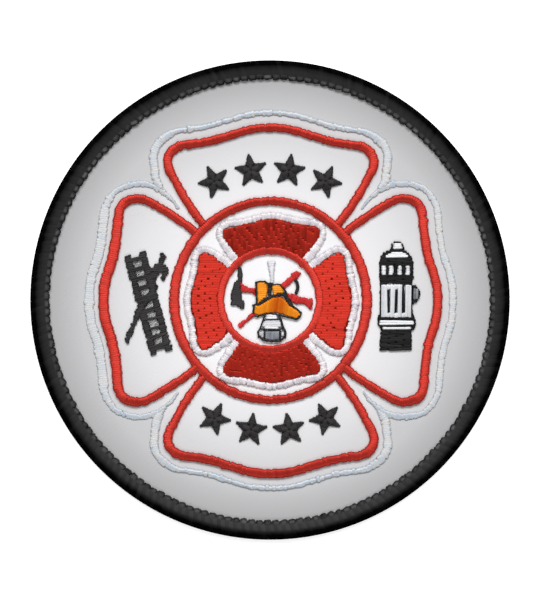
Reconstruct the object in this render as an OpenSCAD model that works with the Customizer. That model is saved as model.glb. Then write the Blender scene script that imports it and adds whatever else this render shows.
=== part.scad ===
// Round embroidered shoulder patch with a fire-service cross, lying face up.
// Millimetres. The origin is at the middle of the back, +Y is the top of the patch and +Z its face.

/* [Patch] */
// Outside diameter, over the merrowed border
patch_d = 88.9; // [76:0.1:102]
// Thickness of the twill with its backing
cloth_t = 1.1; // [1:0.1:1.4]
/* [Border] */
// Width of the merrowed border, seen from the front
border_w = 3.75; // [3.2:0.05:4.2]
// Thickness of the thread under the edge of the twill
border_under = 0.5; // [0.4:0.1:0.8]
// Height of the border over the face of the twill
border_over = 0.9; // [0.8:0.1:1.2]
// How far the border's thread stands out past the cut edge of the twill
border_wall = 1.4; // [1:0.1:1.6]
/* [Satin lines] */
// Width of the red line round each lobe
red_line_w = 1.8; // [1.4:0.1:2]
// Width of the pale line outside the red one
pale_line_w = 1.3; // [1:0.1:1.4]
// Distance between the middles of the red and the pale line
pale_line_out = 2.6; // [2.4:0.1:2.8]
// Width of the white rim of the small cross
rim_w = 1.2; // [1:0.1:1.3]
// Height of a satin line
satin_h = 0.8; // [0.5:0.1:0.8]
/* [Rings] */
// Radius of the hub ring, to the middle of its line
hub_r = 18.1; // [17.9:0.1:18.4]
// Width of the hub ring
hub_w = 1.7; // [1.2:0.1:1.8]
// Radius of the centre ring, to the middle of its line
centre_r = 9.25; // [9:0.05:9.4]
// Width of the centre ring
centre_w = 1.5; // [1:0.1:1.6]
/* [Fills] */
// Height of the filled lobes of the small cross
fill_h = 0.6; // [0.4:0.1:0.7]
// Width of the sloping edge of a filled lobe
fill_shoulder = 0.4; // [0.2:0.1:0.6]
// Height of the small figures
figure_h = 0.5; // [0.3:0.1:0.6]
/* [Stars] */
// Stars in the top lobe, and again in the bottom lobe
star_count = 4; // [3, 4]
// Radius of a star, to its points
star_r = 3.5; // [2.5:0.1:3.6]
// Radius of the arc that the stars stand on
star_arc_r = 24.3; // [24:0.1:24.6]
// Distance between the middles of two stars
star_pitch = 7.1; // [7:0.1:7.4]

/* [Hidden] */
sides = ["right", "top", "left", "bottom"];
$fn = 96;

black = "#2b2b2d";
twill_white = "#e8e8ea";
silver_white = "#c9ccd2";
thread_white = "#f4f2f4";
red = "#c8382e";
dark_red = "#a62e22";
orange = "#f0942c";
dark_orange = "#ce6517";
steel = "#b9bcc4";

// The tables below are for a patch of this diameter, and scale with it
table_d = 88.9;
k = patch_d / table_d;
patch_r = patch_d / 2;
// The gap that keeps one piece clear of the next
gap = 0.05;
cloth_z = border_under + gap;
face_z = cloth_z + cloth_t + gap;
border_t = face_z + border_over;
cloth_r = patch_r - border_wall;

// Red line, half of a top or bottom lobe: out along the lobe, across it
OUT = 0;
ACROSS = 1;
end_lobe_half = [
    [32.1, 0], [31.75, 3.7], [30.7, 7.4], [29.6, 11.1], [29.0, 14.4], [28.6, 16.8], [27.5, 18.4],
    [26.0, 19.0], [24.4, 18.75], [22.8, 17.9], [19.3, 16.0], [15.8, 13.6], [13.3, 11.6]
];
// Red line, half of a side lobe: out, across
side_lobe_half = [
    [31.0, 0], [30.65, 3.7], [29.45, 7.4], [28.75, 11.1], [28.4, 14.4], [28.1, 16.6], [27.2, 18.05],
    [25.9, 18.65], [24.4, 18.8], [22.8, 18.3], [19.3, 16.3], [15.6, 13.8], [13.1, 11.8]
];
// The pale line leaves the red one behind the lobe's corner, which is this row
corner_row = 7;
// Pale line of a top or bottom lobe from its corner to its end: out, across
end_notch = [[24.3, 21.5], [22.5, 21.3]];
// Pale line of a side lobe from its corner into the notch between the lobes: out, across
side_notch = [[24.8, 21.65], [22.8, 21.5], [21.2, 20.9], [19.7, 19.9], [18.3, 18.6], [17.2, 17.2]];
// Filled lobe of the small cross, half: out, across
fill_half = [
    [14.95, 0], [14.75, 1.7], [14.25, 3.6], [13.85, 5.3], [13.7, 7.1], [13.5, 8.2], [12.75, 8.85],
    [11.7, 8.65], [10.3, 7.75], [8.9, 6.7]
];
// Where the side of a filled lobe meets the centre ring, as a turn from the lobe's axis
fill_foot_turn = 36;
// How far out the middle of a filled lobe is
fill_middle = 12.8;
// End of the white rim's line, inside the centre ring: out, across
rim_end = [7.8, 5.7];
// Width of the pale line at the tip of its tail, as a share of its full width
tail_tip = 0.4;
// Share of a star's radius at which its arms meet, and the height of its edge
star_waist = 0.42;
star_edge_h = 0.2;
// Width of the top of the border between its round edge and its inner lip
border_flat = 1;
// The gap round a small figure's panels
panel_gap = 0.06;

// Curve through the rows of a table, with steps points for each row
function bend(a, b, c, d, t) =
    0.5 * (2 * b + (c - a) * t + (2 * a - 5 * b + 4 * c - d) * t * t + (3 * b - a - 3 * c + d) * t * t * t);
function smooth(rows, steps) =
    let (last = len(rows) - 1)
    concat(
        [for (i = [0 : last - 1], s = [0 : steps - 1])
            bend(rows[max(i - 1, 0)], rows[i], rows[i + 1], rows[min(i + 2, last)], s / steps)],
        [rows[last]]
    );
// A half outline mirrored across the lobe's own axis, and the whole outline scaled
function whole(half) = concat([for (i = [len(half) - 1 : -1 : 1]) [half[i][OUT], -half[i][ACROSS]]], half);
function scaled(rows, out, across) = [for (row = rows) [row[OUT] * out, row[ACROSS] * across]];
// Unit vector along a path at one of its points, and the path moved to its left
function heading(path, i) =
    let (step = path[min(i + 1, len(path) - 1)] - path[max(i - 1, 0)])
    step / norm(step);
function to_left(v) = [-v[1], v[0]];
function beside(path, shift) = [for (i = [0 : len(path) - 1]) path[i] + shift * to_left(heading(path, i))];
function first_rows(rows, count) = [for (i = [0 : count - 1]) rows[i]];
// A closed outline moved inwards by depth
function inset(outline, depth) =
    let (n = len(outline))
    [for (i = [0 : n - 1])
        let (step = outline[(i + 1) % n] - outline[(i + n - 1) % n])
        outline[i] + depth * to_left(step / norm(step))];

// Half-round section of a satin line, for a width and a height of 1
section = [for (a = [0 : 36 : 180]) [cos(a) / 2, sin(a)]];
ring_section = [for (a = [0 : 15 : 180]) [cos(a) / 2, sin(a)]];

// Satin line swept along a path on the face, with a width for each point of the path
module satin_line(path, widths, height) {
    n = len(path);
    m = len(section);
    points = [for (i = [0 : n - 1], p = section)
        let (spot = path[i] - p[0] * widths[i] * to_left(heading(path, i)))
        [spot[0], spot[1], face_z + p[1] * height]];
    around = [for (i = [0 : n - 2], j = [0 : m - 1])
        let (a = i * m + j, b = i * m + (j + 1) % m)
        each [[a, b, b + m], [a, b + m, a + m]]];
    ends = [[for (j = [m - 1 : -1 : 0]) j], [for (j = [0 : m - 1]) (n - 1) * m + j]];
    polyhedron(points, concat(around, ends));
}

// Satin ring round the middle of the patch
module satin_ring(radius, width, height) {
    rotate_extrude()
        polygon([for (p = ring_section) [radius + p[0] * width, face_z + p[1] * height]]);
}

// Raised pad on the face, with a sloping shoulder all round. All of its outline can be seen from middle
module pad(outline, middle, height, shoulder) {
    n = len(outline);
    rings = [
        [for (p = outline) [p[0], p[1], face_z]],
        [for (p = outline) [p[0], p[1], face_z + height / 2]],
        [for (p = inset(outline, shoulder)) [p[0], p[1], face_z + height]]
    ];
    middles = [for (z = [face_z, face_z + height]) [middle[0], middle[1], z]];
    around = [for (ring = [0, 1], i = [0 : n - 1])
        let (a = ring * n + i, b = ring * n + (i + 1) % n)
        each [[a, a + n, b + n], [a, b + n, b]]];
    ends = [for (i = [0 : n - 1])
        let (next = (i + 1) % n)
        each [[3 * n, i, next], [3 * n + 1, 2 * n + next, 2 * n + i]]];
    polyhedron(concat([for (ring = rings) each ring], middles), concat(around, ends));
}

// Flat raised figure on the face
module figure() {
    translate([0, 0, face_z])
        linear_extrude(figure_h)
            scale([k, k])
                children();
}

// Straight bar between two points
module bar(from, to, from_w, to_w) {
    side = to_left((to - from) / norm(to - from)) / 2;
    polygon([from - side * from_w, to - side * to_w, to + side * to_w, from + side * from_w]);
}

// Everything inside this radius, taken away to leave a satin ring its place
module clear_of_ring(radius, width) {
    translate([0, 0, face_z - 1])
        cylinder(h = satin_h + 2, r = (radius + width / 2) * k + gap);
}

function turn(side) = 90 * side;
function is_end_lobe(side) = side % 2 == 1;
function lobe_half(side) = is_end_lobe(side) ? end_lobe_half : side_lobe_half;

module twill_ground() {
    color(twill_white)
        translate([0, 0, cloth_z])
            cylinder(h = cloth_t, r = cloth_r);
}

// C-shaped section: a round outer edge, a flat back, and a slot that holds the edge of the twill
module merrow_border() {
    inner_r = patch_r - border_w;
    slot_r = cloth_r + gap;
    round_r = border_t / 2;
    lip = border_w - round_r - border_flat;
    outer = [for (a = [-90 : 15 : 90]) [patch_r - round_r + round_r * cos(a), round_r + round_r * sin(a)]];
    top_lip = [for (a = [90 : 15 : 180]) [inner_r + lip + lip * cos(a), face_z + border_over * sin(a)]];
    under_lip = [for (a = [180 : 30 : 270]) [inner_r + border_under * (1 + cos(a)), border_under * (1 + sin(a))]];
    color(black)
        rotate_extrude()
            polygon(concat(outer, top_lip, [[slot_r, face_z], [slot_r, border_under]], under_lip));
}

module hub_ring() {
    color(red)
        satin_ring(hub_r * k, hub_w * k, satin_h);
}

module centre_ring() {
    color(red)
        satin_ring(centre_r * k, centre_w * k, satin_h);
}

module red_outline(side) {
    path = scaled(smooth(whole(lobe_half(side)), 3), k, k);
    color(red)
        difference() {
            rotate([0, 0, turn(side)])
                satin_line(path, [for (p = path) red_line_w], satin_h);
            clear_of_ring(hub_r, hub_w);
        }
}

// The line follows the red one round the lobe's corners, then runs into the notches
module pale_outline(side) {
    red_half = first_rows(lobe_half(side), corner_row + 1);
    notch = is_end_lobe(side) ? end_notch : side_notch;
    half = concat(beside(red_half, -pale_line_out), notch);
    path = scaled(smooth(whole(half), 3), k, k);
    last = len(path) - 1;
    tail = 3 * len(notch);
    widths = [for (i = [0 : last]) pale_line_w * min(1, tail_tip + (1 - tail_tip) * min(i, last - i) / tail)];
    color(silver_white)
        rotate([0, 0, turn(side)])
            satin_line(path, widths, satin_h);
}

module cross_fill(side) {
    foot_r = centre_r + centre_w / 2;
    foot = [for (a = [fill_foot_turn : -fill_foot_turn / 7 : -fill_foot_turn]) foot_r * [cos(a), sin(a)]];
    outline = inset(scaled(concat(smooth(whole(fill_half), 2), foot), k, k), gap);
    color(dark_red)
        rotate([0, 0, turn(side)])
            pad(outline, [fill_middle * k, 0], fill_h, fill_shoulder);
}

module cross_rim(side) {
    half = concat(fill_half, [rim_end]);
    path = beside(scaled(smooth(whole(half), 2), k, k), -rim_w / 2 - gap);
    color(thread_white)
        difference() {
            rotate([0, 0, turn(side)])
                satin_line(path, [for (p = path) rim_w], satin_h);
            clear_of_ring(centre_r, centre_w);
        }
}

// Five-pointed star with a ridge along each arm, on the arc through a lobe
module star(lobe_turn, i) {
    pitch_turn = star_pitch / star_arc_r * 180 / PI;
    points = [for (a = [0 : 9]) star_r * k * (a % 2 == 0 ? 1 : star_waist) * [cos(36 * a), sin(36 * a)]];
    rim = [for (z = [0, star_edge_h], p = points) [p[0], p[1], face_z + z]];
    walls = [for (a = [0 : 9]) let (b = (a + 1) % 10) each [[a, a + 10, b + 10], [a, b + 10, b]]];
    middles = [for (z = [0, satin_h]) [0, 0, face_z + z]];
    ends = [for (a = [0 : 9]) let (b = (a + 1) % 10) each [[20, a, b], [21, b + 10, a + 10]]];
    around = lobe_turn + (i - (star_count + 1) / 2) * pitch_turn;
    facing = lobe_turn == 90 ? 0 : 180;
    color(black)
        rotate([0, 0, around])
            translate([star_arc_r * k, 0, 0])
                rotate([0, 0, facing])
                    polyhedron(concat(rim, middles), concat(walls, ends));
}

// Ladder: distances run down from its top end
ladder_middle = [-22.7, -0.6];
ladder_tilt = 14.6;
ladder_l = 19.1;
ladder_w = 4.1;
rail_w = 1.2;
rung_gap_h = 0.95;
ladder_gaps = [1.9, 3.75, 5.6, 7.4, 9.9, 11.6, 13.3, 15.0, 16.7];

module ladder_and_pole() {
    opening_w = ladder_w - 2 * rail_w;
    color(black)
        figure() {
            translate(ladder_middle)
                rotate(ladder_tilt)
                    difference() {
                        square([ladder_w, ladder_l], center = true);
                        for (down = ladder_gaps)
                            translate([0, ladder_l / 2 - down])
                                square([opening_w, rung_gap_h], center = true);
                        for (end = [-1, 1])
                            translate([0, end * ladder_l / 2])
                                square([opening_w, 2 * rung_gap_h], center = true);
                    }
            bar([-26.6, -7.8], [-21.7, 5.4], 1.1, 2.0);
            bar([-21.9, 5.6], [-19.8, 5.9], 1.8, 2.2);
            bar([-20.3, 6.0], [-19.7, 8.6], 1.3, 0.9);
            bar([-19.6, 5.6], [-19.5, 3.8], 1.0, 0.9);
        }
}

// Hydrant, about its own axis: x across, y up from its foot
hydrant_foot = [23.45, -9.3];
// Black shape: height, half width
hydrant_side = [
    [0, 2.95], [3.7, 2.95], [3.75, 3.2], [4.7, 3.6], [5.8, 3.6], [6.9, 3.2], [7.3, 3.05], [12.3, 3.05],
    [12.5, 3.15], [16.6, 3.15], [17.3, 2.7], [18.2, 2.0], [18.6, 1.4], [19.6, 1.25], [20.0, 0.7]
];
// White panels: left, right, bottom, top
hydrant_windows = [
    [-0.85, 1.0, 18.8, 19.5],
    [-2.0, 2.0, 17.4, 18.1],
    [-2.8, -2.1, 14.2, 15.6], [-1.4, -0.5, 14.2, 15.6], [0.2, 1.1, 14.2, 15.6], [1.7, 2.5, 14.2, 15.6],
    [-2.7, -1.8, 7.1, 12.2], [-1.2, -0.3, 7.1, 11.3], [0.2, 0.9, 7.1, 11.3], [1.4, 2.7, 7.1, 12.2],
    [-1.5, 0.9, 11.6, 12.2],
    [-2.8, 2.8, 6.0, 6.8],
    [-3.3, 3.2, 4.9, 5.6],
    [-2.6, 2.7, 4.0, 4.5],
    [3.7, 4.0, 9.6, 11.4]
];
// Side outlet: middle, radius
outlet_middle = [2.7, 10.5];
outlet_r = 1.75;

module hydrant_windows_2d(margin) {
    for (w = hydrant_windows)
        translate([w[0] + margin, w[2] + margin])
            square([w[1] - w[0] - 2 * margin, w[3] - w[2] - 2 * margin]);
}

module hydrant_lines() {
    rising = [for (row = hydrant_side) [row[1], row[0]]];
    falling = [for (i = [len(hydrant_side) - 1 : -1 : 0]) [-hydrant_side[i][1], hydrant_side[i][0]]];
    color(black)
        figure()
            translate(hydrant_foot)
                difference() {
                    union() {
                        polygon(concat(rising, falling));
                        translate(outlet_middle)
                            circle(r = outlet_r, $fn = 8);
                    }
                    hydrant_windows_2d(0);
                }
}

module hydrant_panels() {
    color(twill_white)
        figure()
            translate(hydrant_foot)
                hydrant_windows_2d(panel_gap);
}

// Helmet in the medallion
crown_left = [[-2.5, 3.0], [-2.2, 3.2], [-1.1, 3.2], [-0.6, 2.8], [-0.4, 1.7], [-0.6, 0.7], [-1.5, 0.0], [-2.3, -0.6]];
crown_right = [[0.3, 2.7], [1.9, 2.8], [2.4, 2.0], [2.7, 1.3], [1.4, 1.2], [0.6, 1.0], [0.4, 1.9]];
brim = [
    [-2.6, -0.9], [-1.5, -0.9], [0.0, 0.2], [1.3, 0.7], [2.4, 0.7], [3.3, -0.6], [4.5, -1.5], [5.4, -2.2],
    [5.6, -3.0], [5.0, -3.5], [3.7, -3.4], [2.4, -2.9], [1.1, -2.3], [0.0, -2.4], [-1.1, -2.8],
    [-2.2, -3.0], [-2.7, -2.6]
];
helmet_outline = [
    [-2.75, 3.2], [-2.3, 3.5], [-1.0, 3.5], [0.0, 3.15], [2.0, 3.1], [2.5, 2.5], [3.0, 1.2], [3.5, -0.4],
    [4.7, -1.3], [5.7, -2.1], [5.9, -3.1], [5.1, -3.8], [3.6, -3.7], [2.3, -3.2], [1.1, -2.6], [0.0, -2.7],
    [-1.1, -3.1], [-2.3, -3.3], [-3.0, -2.7], [-2.85, -0.9], [-2.6, -0.6]
];

module helmet_crown() {
    color(orange)
        figure() {
            polygon(crown_left);
            polygon(crown_right);
        }
}

module helmet_brim() {
    color(dark_orange)
        figure()
            polygon(brim);
}

// Black edging in the seams and round the edge of the helmet
module helmet_trim() {
    color(black)
        figure()
            difference() {
                polygon(helmet_outline);
                for (panel = [crown_left, crown_right, brim])
                    offset(delta = panel_gap)
                        polygon(panel);
            }
}

module axe_head() {
    color(black)
        figure()
            polygon([
                [-5.9, 6.1], [-5.2, 6.1], [-5.1, 4.1], [-5.4, 3.5], [-5.4, 0.6], [-4.9, 0.2], [-4.5, -1.3],
                [-5.0, -1.6], [-5.8, -1.3], [-6.9, -0.9], [-7.2, -0.6], [-7.2, 1.8], [-6.9, 2.4], [-6.4, 3.0],
                [-6.1, 3.9]
            ]);
}

// Two stretches of one handle, which passes behind the helmet
module axe_handle() {
    color(red)
        figure() {
            polygon([[-5.25, 3.35], [-2.9, 2.0], [-2.85, 0.6], [-5.25, 2.1]]);
            polygon([[3.3, 1.4], [5.4, 0.6], [7.6, 0.2], [7.8, -1.7], [7.2, -1.7], [6.7, -0.8], [3.8, -0.2]]);
        }
}

// Two stretches of one pole, which passes behind the helmet
module pike_pole() {
    color(red)
        figure() {
            bar([2.9, 3.2], [5.3, 5.1], 1.1, 1.1);
            bar([-3.3, -2.85], [-5.8, -4.8], 0.75, 0.75);
        }
}

module pike_hook() {
    color(black)
        figure() {
            bar([5.05, 3.85], [5.2, 2.2], 0.45, 0.45);
            bar([5.2, 2.3], [4.9, 1.3], 0.45, 0.4);
        }
}

// Hose nozzle below the helmet, mouth down
module nozzle_body() {
    color(steel)
        figure() {
            polygon([[-0.8, -3.7], [-0.5, -3.1], [1.0, -2.9], [1.5, -3.7]]);
            polygon([[-1.5, -4.1], [1.9, -4.1], [2.4, -5.2], [1.5, -5.7], [-0.7, -5.7], [-1.7, -5.0]]);
            polygon([[-0.8, -6.0], [1.5, -6.0], [1.5, -7.4], [0.4, -7.7], [-0.8, -7.4]]);
        }
}

module nozzle_bands() {
    color(black)
        figure() {
            translate([-1.2, -4.0])
                square([2.8, 0.2]);
            polygon([[-2.0, -5.8], [-0.9, -5.8], [-0.9, -7.5], [-2.2, -6.7]]);
            polygon([[1.6, -5.8], [2.8, -5.8], [3.0, -6.5], [2.2, -7.2], [1.6, -7.4]]);
        }
}

module nozzle_tip() {
    color(steel)
        figure()
            polygon([[-0.6, 7.1], [1.2, 7.1], [0.8, 6.3], [0.7, 3.6], [0.1, 3.6], [-0.1, 5.4], [-0.4, 6.3]]);
}

twill_ground();
merrow_border();
hub_ring();
centre_ring();
for (side = [0 : 3]) {
    red_outline(side);
    pale_outline(side);
    cross_fill(side);
    cross_rim(side);
}
for (i = [1 : star_count]) {
    star(90, i);
    star(270, i);
}
ladder_and_pole();
hydrant_lines();
hydrant_panels();
helmet_crown();
helmet_brim();
helmet_trim();
axe_head();
axe_handle();
pike_pole();
pike_hook();
nozzle_body();
nozzle_bands();
nozzle_tip();
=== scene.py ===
"""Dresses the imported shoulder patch: each stitch is a short arched thread, sewn on white twill."""

import logging
import math
import zlib
from dataclasses import dataclass, field, replace
from enum import Enum
from typing import Any

import bmesh
import bpy
import numpy as np
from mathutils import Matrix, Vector
from mathutils.kdtree import KDTree


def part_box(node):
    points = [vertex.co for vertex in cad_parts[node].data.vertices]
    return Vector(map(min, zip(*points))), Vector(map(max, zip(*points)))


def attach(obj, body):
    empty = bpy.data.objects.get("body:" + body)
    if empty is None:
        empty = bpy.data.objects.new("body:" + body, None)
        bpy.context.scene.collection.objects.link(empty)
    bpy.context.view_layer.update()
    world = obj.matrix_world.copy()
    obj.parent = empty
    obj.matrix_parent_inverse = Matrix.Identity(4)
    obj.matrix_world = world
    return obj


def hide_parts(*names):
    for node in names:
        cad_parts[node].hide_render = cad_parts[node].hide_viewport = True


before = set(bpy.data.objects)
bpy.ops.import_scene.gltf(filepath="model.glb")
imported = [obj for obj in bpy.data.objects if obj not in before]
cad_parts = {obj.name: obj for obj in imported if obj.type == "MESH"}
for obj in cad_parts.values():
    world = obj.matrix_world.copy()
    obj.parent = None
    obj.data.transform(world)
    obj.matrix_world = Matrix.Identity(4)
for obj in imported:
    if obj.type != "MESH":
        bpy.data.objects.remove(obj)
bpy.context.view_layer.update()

LOG = logging.getLogger("shoulder_patch")
MM = 0.001
# Vertices of a spun shape that lie closer than this are one, in metres
MERGE_DISTANCE = 1e-7
# Points in a row, right and up from the middle of the patch unless a comment says otherwise
Points = list[list[float]] | np.ndarray
# Shares of a line's way, and its width at each
Widths = tuple[list[float], list[float]]
# One value for all the stitches of a shape, or one each
Measure = float | np.ndarray


class Slot(Enum):
    """The material slots that the record names."""

    TWILL = "twill"
    BORDER_YARN = "border_yarn"
    RED = "red_thread"
    DARK_RED = "dark_red_thread"
    SILVER = "silver_thread"
    WHITE = "white_thread"
    BLACK = "black_thread"
    ORANGE = "orange_thread"
    RUST = "rust_thread"
    GREY = "grey_thread"


class Side(Enum):
    """The four lobes of the cross, in quarter turns from the right one."""

    RIGHT = 0
    TOP = 1
    LEFT = 2
    BOTTOM = 3

    @property
    def turn(self) -> float:
        """Degrees from the right lobe to this one."""
        return 90.0 * self.value

    @property
    def is_end(self) -> bool:
        """True for the top and bottom lobes."""
        return self in (Side.TOP, Side.BOTTOM)

    @property
    def word(self) -> str:
        """The side as it is written in a node's name."""
        return self.name.lower()


@dataclass(frozen=True)
class Layout:
    """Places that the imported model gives, in millimetres."""

    cloth_r: float
    cloth_low: float
    cloth_top: float
    face_z: float

    @classmethod
    def from_frame(cls) -> "Layout":
        """Reads the cloth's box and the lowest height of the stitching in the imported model."""
        cloth_low, cloth_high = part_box("twill_ground")
        ring_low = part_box("hub_ring")[0]
        return cls(
            cloth_r=cloth_high.x / MM,
            cloth_low=cloth_low.z / MM,
            cloth_top=cloth_high.z / MM,
            face_z=ring_low.z / MM,
        )


def linear(colour: tuple[int, int, int]) -> tuple[float, float, float, float]:
    """Turns a screen colour of 0 to 255 into the linear one that a shader takes.

    Args:
        colour: Red, green and blue as a screen shows them.

    Returns:
        The linear colour, with full opacity.
    """
    parts = [c / 255 for c in colour]
    red, green, blue = [p / 12.92 if p <= 0.04045 else ((p + 0.055) / 1.055) ** 2.4 for p in parts]
    return red, green, blue, 1.0


class Graph:
    """Adds and links the nodes of one material or node group."""

    def __init__(self, tree: bpy.types.NodeTree) -> None:
        """Starts on a node tree."""
        self.tree = tree

    def add(self, kind: str, sockets: dict[Any, Any] | None = None, **settings: Any) -> bpy.types.Node:
        """Adds one node.

        Args:
            kind: The node's type.
            sockets: A value, or another node's output, for each of its inputs.
            settings: The node's own options.

        Returns:
            The new node.
        """
        node = self.tree.nodes.new(kind)
        for key, value in settings.items():
            setattr(node, key, value)
        for key, value in (sockets or {}).items():
            if isinstance(value, bpy.types.NodeSocket):
                self.tree.links.new(value, node.inputs[key])
            else:
                node.inputs[key].default_value = value
        return node

    def math(self, operation: str, first: Any, second: Any = 0.0) -> bpy.types.NodeSocket:
        """Adds one step of arithmetic and returns its result."""
        return self.add("ShaderNodeMath", {0: first, 1: second}, operation=operation).outputs[0]


def ply_group(plies: float = 2.0, patchiness: float = 900.0) -> bpy.types.NodeTree:
    """Builds the twist and the uneven dye of a thread, as a group that every thread's material uses.

    Args:
        plies: Strands that are twisted in one thread.
        patchiness: Scale of the unevenness of the dye.

    Returns:
        The group. It reads each stitch's tint and the thread's own UV map.
    """
    tree = bpy.data.node_groups.new("thread_ply", "ShaderNodeTree")
    for name in ("Main", "Shade"):
        tree.interface.new_socket(name=name, in_out="INPUT", socket_type="NodeSocketColor")
    for name in ("Twists", "Mottle"):
        tree.interface.new_socket(name=name, in_out="INPUT", socket_type="NodeSocketFloat")
    for name, kind in (("Colour", "NodeSocketColor"), ("Height", "NodeSocketFloat")):
        tree.interface.new_socket(name=name, in_out="OUTPUT", socket_type=kind)
    graph = Graph(tree)
    given = graph.add("NodeGroupInput").outputs
    tint = graph.add("ShaderNodeAttribute", attribute_name="tint").outputs["Fac"]
    place = graph.add("ShaderNodeTexCoord").outputs["Object"]
    noise = graph.add("ShaderNodeTexNoise", {"Vector": place, "Scale": patchiness}).outputs["Fac"]
    uneven = graph.math("MULTIPLY", graph.math("SUBTRACT", noise, 0.5), given["Mottle"])
    share = graph.add("ShaderNodeClamp", {"Value": graph.math("ADD", tint, uneven)}).outputs[0]
    # Inputs 6 and 7 of a mix of colours are its colours, and its output 2 is what comes of them
    mixed = graph.add("ShaderNodeMix", {0: share, 6: given["Shade"], 7: given["Main"]}, data_type="RGBA")
    spot = graph.add("ShaderNodeSeparateXYZ", {0: graph.add("ShaderNodeUVMap", uv_map="thread").outputs[0]})
    along = graph.math("MULTIPLY", spot.outputs["X"], given["Twists"])
    phase = graph.math("ADD", along, graph.math("MULTIPLY", spot.outputs["Y"], plies))
    wave = graph.math("SINE", graph.math("MULTIPLY", phase, math.tau))
    graph.add("NodeGroupOutput", {"Colour": mixed.outputs[2], "Height": wave})
    return tree


@dataclass(frozen=True)
class ThreadFinish:
    """The colour and lustre of one thread, whose filaments spread a highlight across it.

    Attributes:
        slot: The record's slot.
        main: The thread's full colour, as a screen shows it.
        shade: Its colour where a stitch's tint is 0.
        roughness: Roughness of the shader.
        lustre: Metallic share, which colours the highlight.
        gloss: Level of the uncoloured highlight.
        across: How far the highlight spreads across the thread.
        across_turn: Direction of that spread, in turns from the thread.
        twists: Turns of the twist in one millimetre.
        relief: Strength of the twist's relief.
        relief_depth: Depth of it, in millimetres.
        mottle: Unevenness of the dye.
        variant: Ending of the material's name, where a slot has a second finish.
    """

    slot: Slot
    main: tuple[int, int, int]
    shade: tuple[int, int, int]
    roughness: float = 0.52
    lustre: float = 0.42
    gloss: float = 0.1
    across: float = 0.85
    across_turn: float = 0.25
    twists: float = 1.6
    relief: float = 0.1
    relief_depth: float = 0.03
    mottle: float = 0.3
    variant: str = ""

    def material(self) -> bpy.types.Material:
        """Builds the thread's material, once.

        Returns:
            The material, the same one each time.
        """
        name = self.slot.value + self.variant
        found = bpy.data.materials.get(name)
        if found and found.get("patch_thread"):
            return found
        made = bpy.data.materials.new(name)
        made["patch_thread"] = True
        made.use_nodes = True
        tree = made.node_tree
        tree.nodes.clear()
        graph = Graph(tree)
        group = bpy.data.node_groups.get("thread_ply") or ply_group()
        ply = graph.add("ShaderNodeGroup", node_tree=group)
        ply.inputs["Main"].default_value = linear(self.main)
        ply.inputs["Shade"].default_value = linear(self.shade)
        ply.inputs["Twists"].default_value = self.twists
        ply.inputs["Mottle"].default_value = self.mottle
        depth = self.relief_depth * MM
        height = ply.outputs["Height"]
        bump = graph.add("ShaderNodeBump", {"Height": height, "Strength": self.relief, "Distance": depth})
        shader = graph.add(
            "ShaderNodeBsdfPrincipled",
            {
                "Base Color": ply.outputs["Colour"],
                "Metallic": self.lustre,
                "Roughness": self.roughness,
                "Specular IOR Level": self.gloss,
                "Normal": bump.outputs[0],
            },
        )
        if self.across:
            along = graph.add("ShaderNodeTangent", direction_type="UV_MAP", uv_map="thread").outputs[0]
            tree.links.new(along, shader.inputs["Tangent"])
            shader.inputs["Anisotropic"].default_value = self.across
            shader.inputs["Anisotropic Rotation"].default_value = self.across_turn
        graph.add("ShaderNodeOutputMaterial", {"Surface": shader.outputs[0]})
        return made


# Where a stitch's tint is low, its thread takes the shade colour: for the random spread of the dye and the
# darker parts of a figure, and as painted shade under satin lines, on threads that run up or down, and round
# the border's outer edge
RED = ThreadFinish(Slot.RED, main=(200, 60, 50), shade=(138, 36, 27), lustre=0.6)
TOOL_RED = ThreadFinish(Slot.RED, main=(204, 54, 52), shade=(126, 24, 26), lustre=0.15, variant="_tools")
DARK_RED = ThreadFinish(Slot.DARK_RED, main=(195, 51, 38), shade=(138, 33, 22), lustre=0.65)
SILVER = ThreadFinish(Slot.SILVER, main=(198, 197, 196), shade=(146, 181, 211), lustre=0.2)
WHITE = ThreadFinish(Slot.WHITE, main=(229, 224, 225), shade=(164, 160, 176), lustre=0.18)
PANEL_WHITE = ThreadFinish(
    Slot.WHITE, main=(223, 225, 228), shade=(92, 95, 102), lustre=0.18, variant="_panels"
)
BLACK = ThreadFinish(Slot.BLACK, main=(54, 52, 53), shade=(20, 19, 20), lustre=0.1)
BORDER = ThreadFinish(
    Slot.BORDER_YARN, main=(118, 118, 120), shade=(4, 4, 4),
    roughness=0.8, lustre=0, gloss=0, across=0, mottle=0.04,
)  # fmt: skip
ORANGE = ThreadFinish(Slot.ORANGE, main=(236, 155, 42), shade=(190, 98, 16), lustre=0.3)
RUST = ThreadFinish(Slot.RUST, main=(240, 146, 32), shade=(192, 78, 12), lustre=0.3)
GREY = ThreadFinish(Slot.GREY, main=(224, 223, 227), shade=(90, 96, 110), lustre=0.2)


def bend(points: np.ndarray, i: int, t: float) -> np.ndarray:
    """A point on the smooth curve through the rows of a table.

    Args:
        points: The table's rows.
        i: The row that the stretch starts at.
        t: Share of the way to the next row.

    Returns:
        The point.
    """
    last = len(points) - 1
    a, b, c, d = (points[min(max(n, 0), last)] for n in (i - 1, i, i + 1, i + 2))
    cubic = 3 * b - a - 3 * c + d
    return 0.5 * (2 * b + (c - a) * t + (2 * a - 5 * b + 4 * c - d) * t * t + cubic * t**3)


def smooth(rows: Points, steps: int) -> np.ndarray:
    """The curve through a table's rows, with steps points for each row."""
    points = np.asarray(rows, float)
    curve = [bend(points, i, s / steps) for i in range(len(points) - 1) for s in range(steps)]
    return np.array([*curve, points[-1]])


def whole(half: Points) -> np.ndarray:
    """A half outline mirrored across its lobe's own axis, end to end."""
    points = np.asarray(half, float)
    return np.concatenate([(points * (1, -1))[:0:-1], points])


def left_of(ahead: np.ndarray) -> np.ndarray:
    """The directions that lie a quarter turn to the left of others."""
    return np.stack([-ahead[:, 1], ahead[:, 0]], axis=1)


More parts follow.
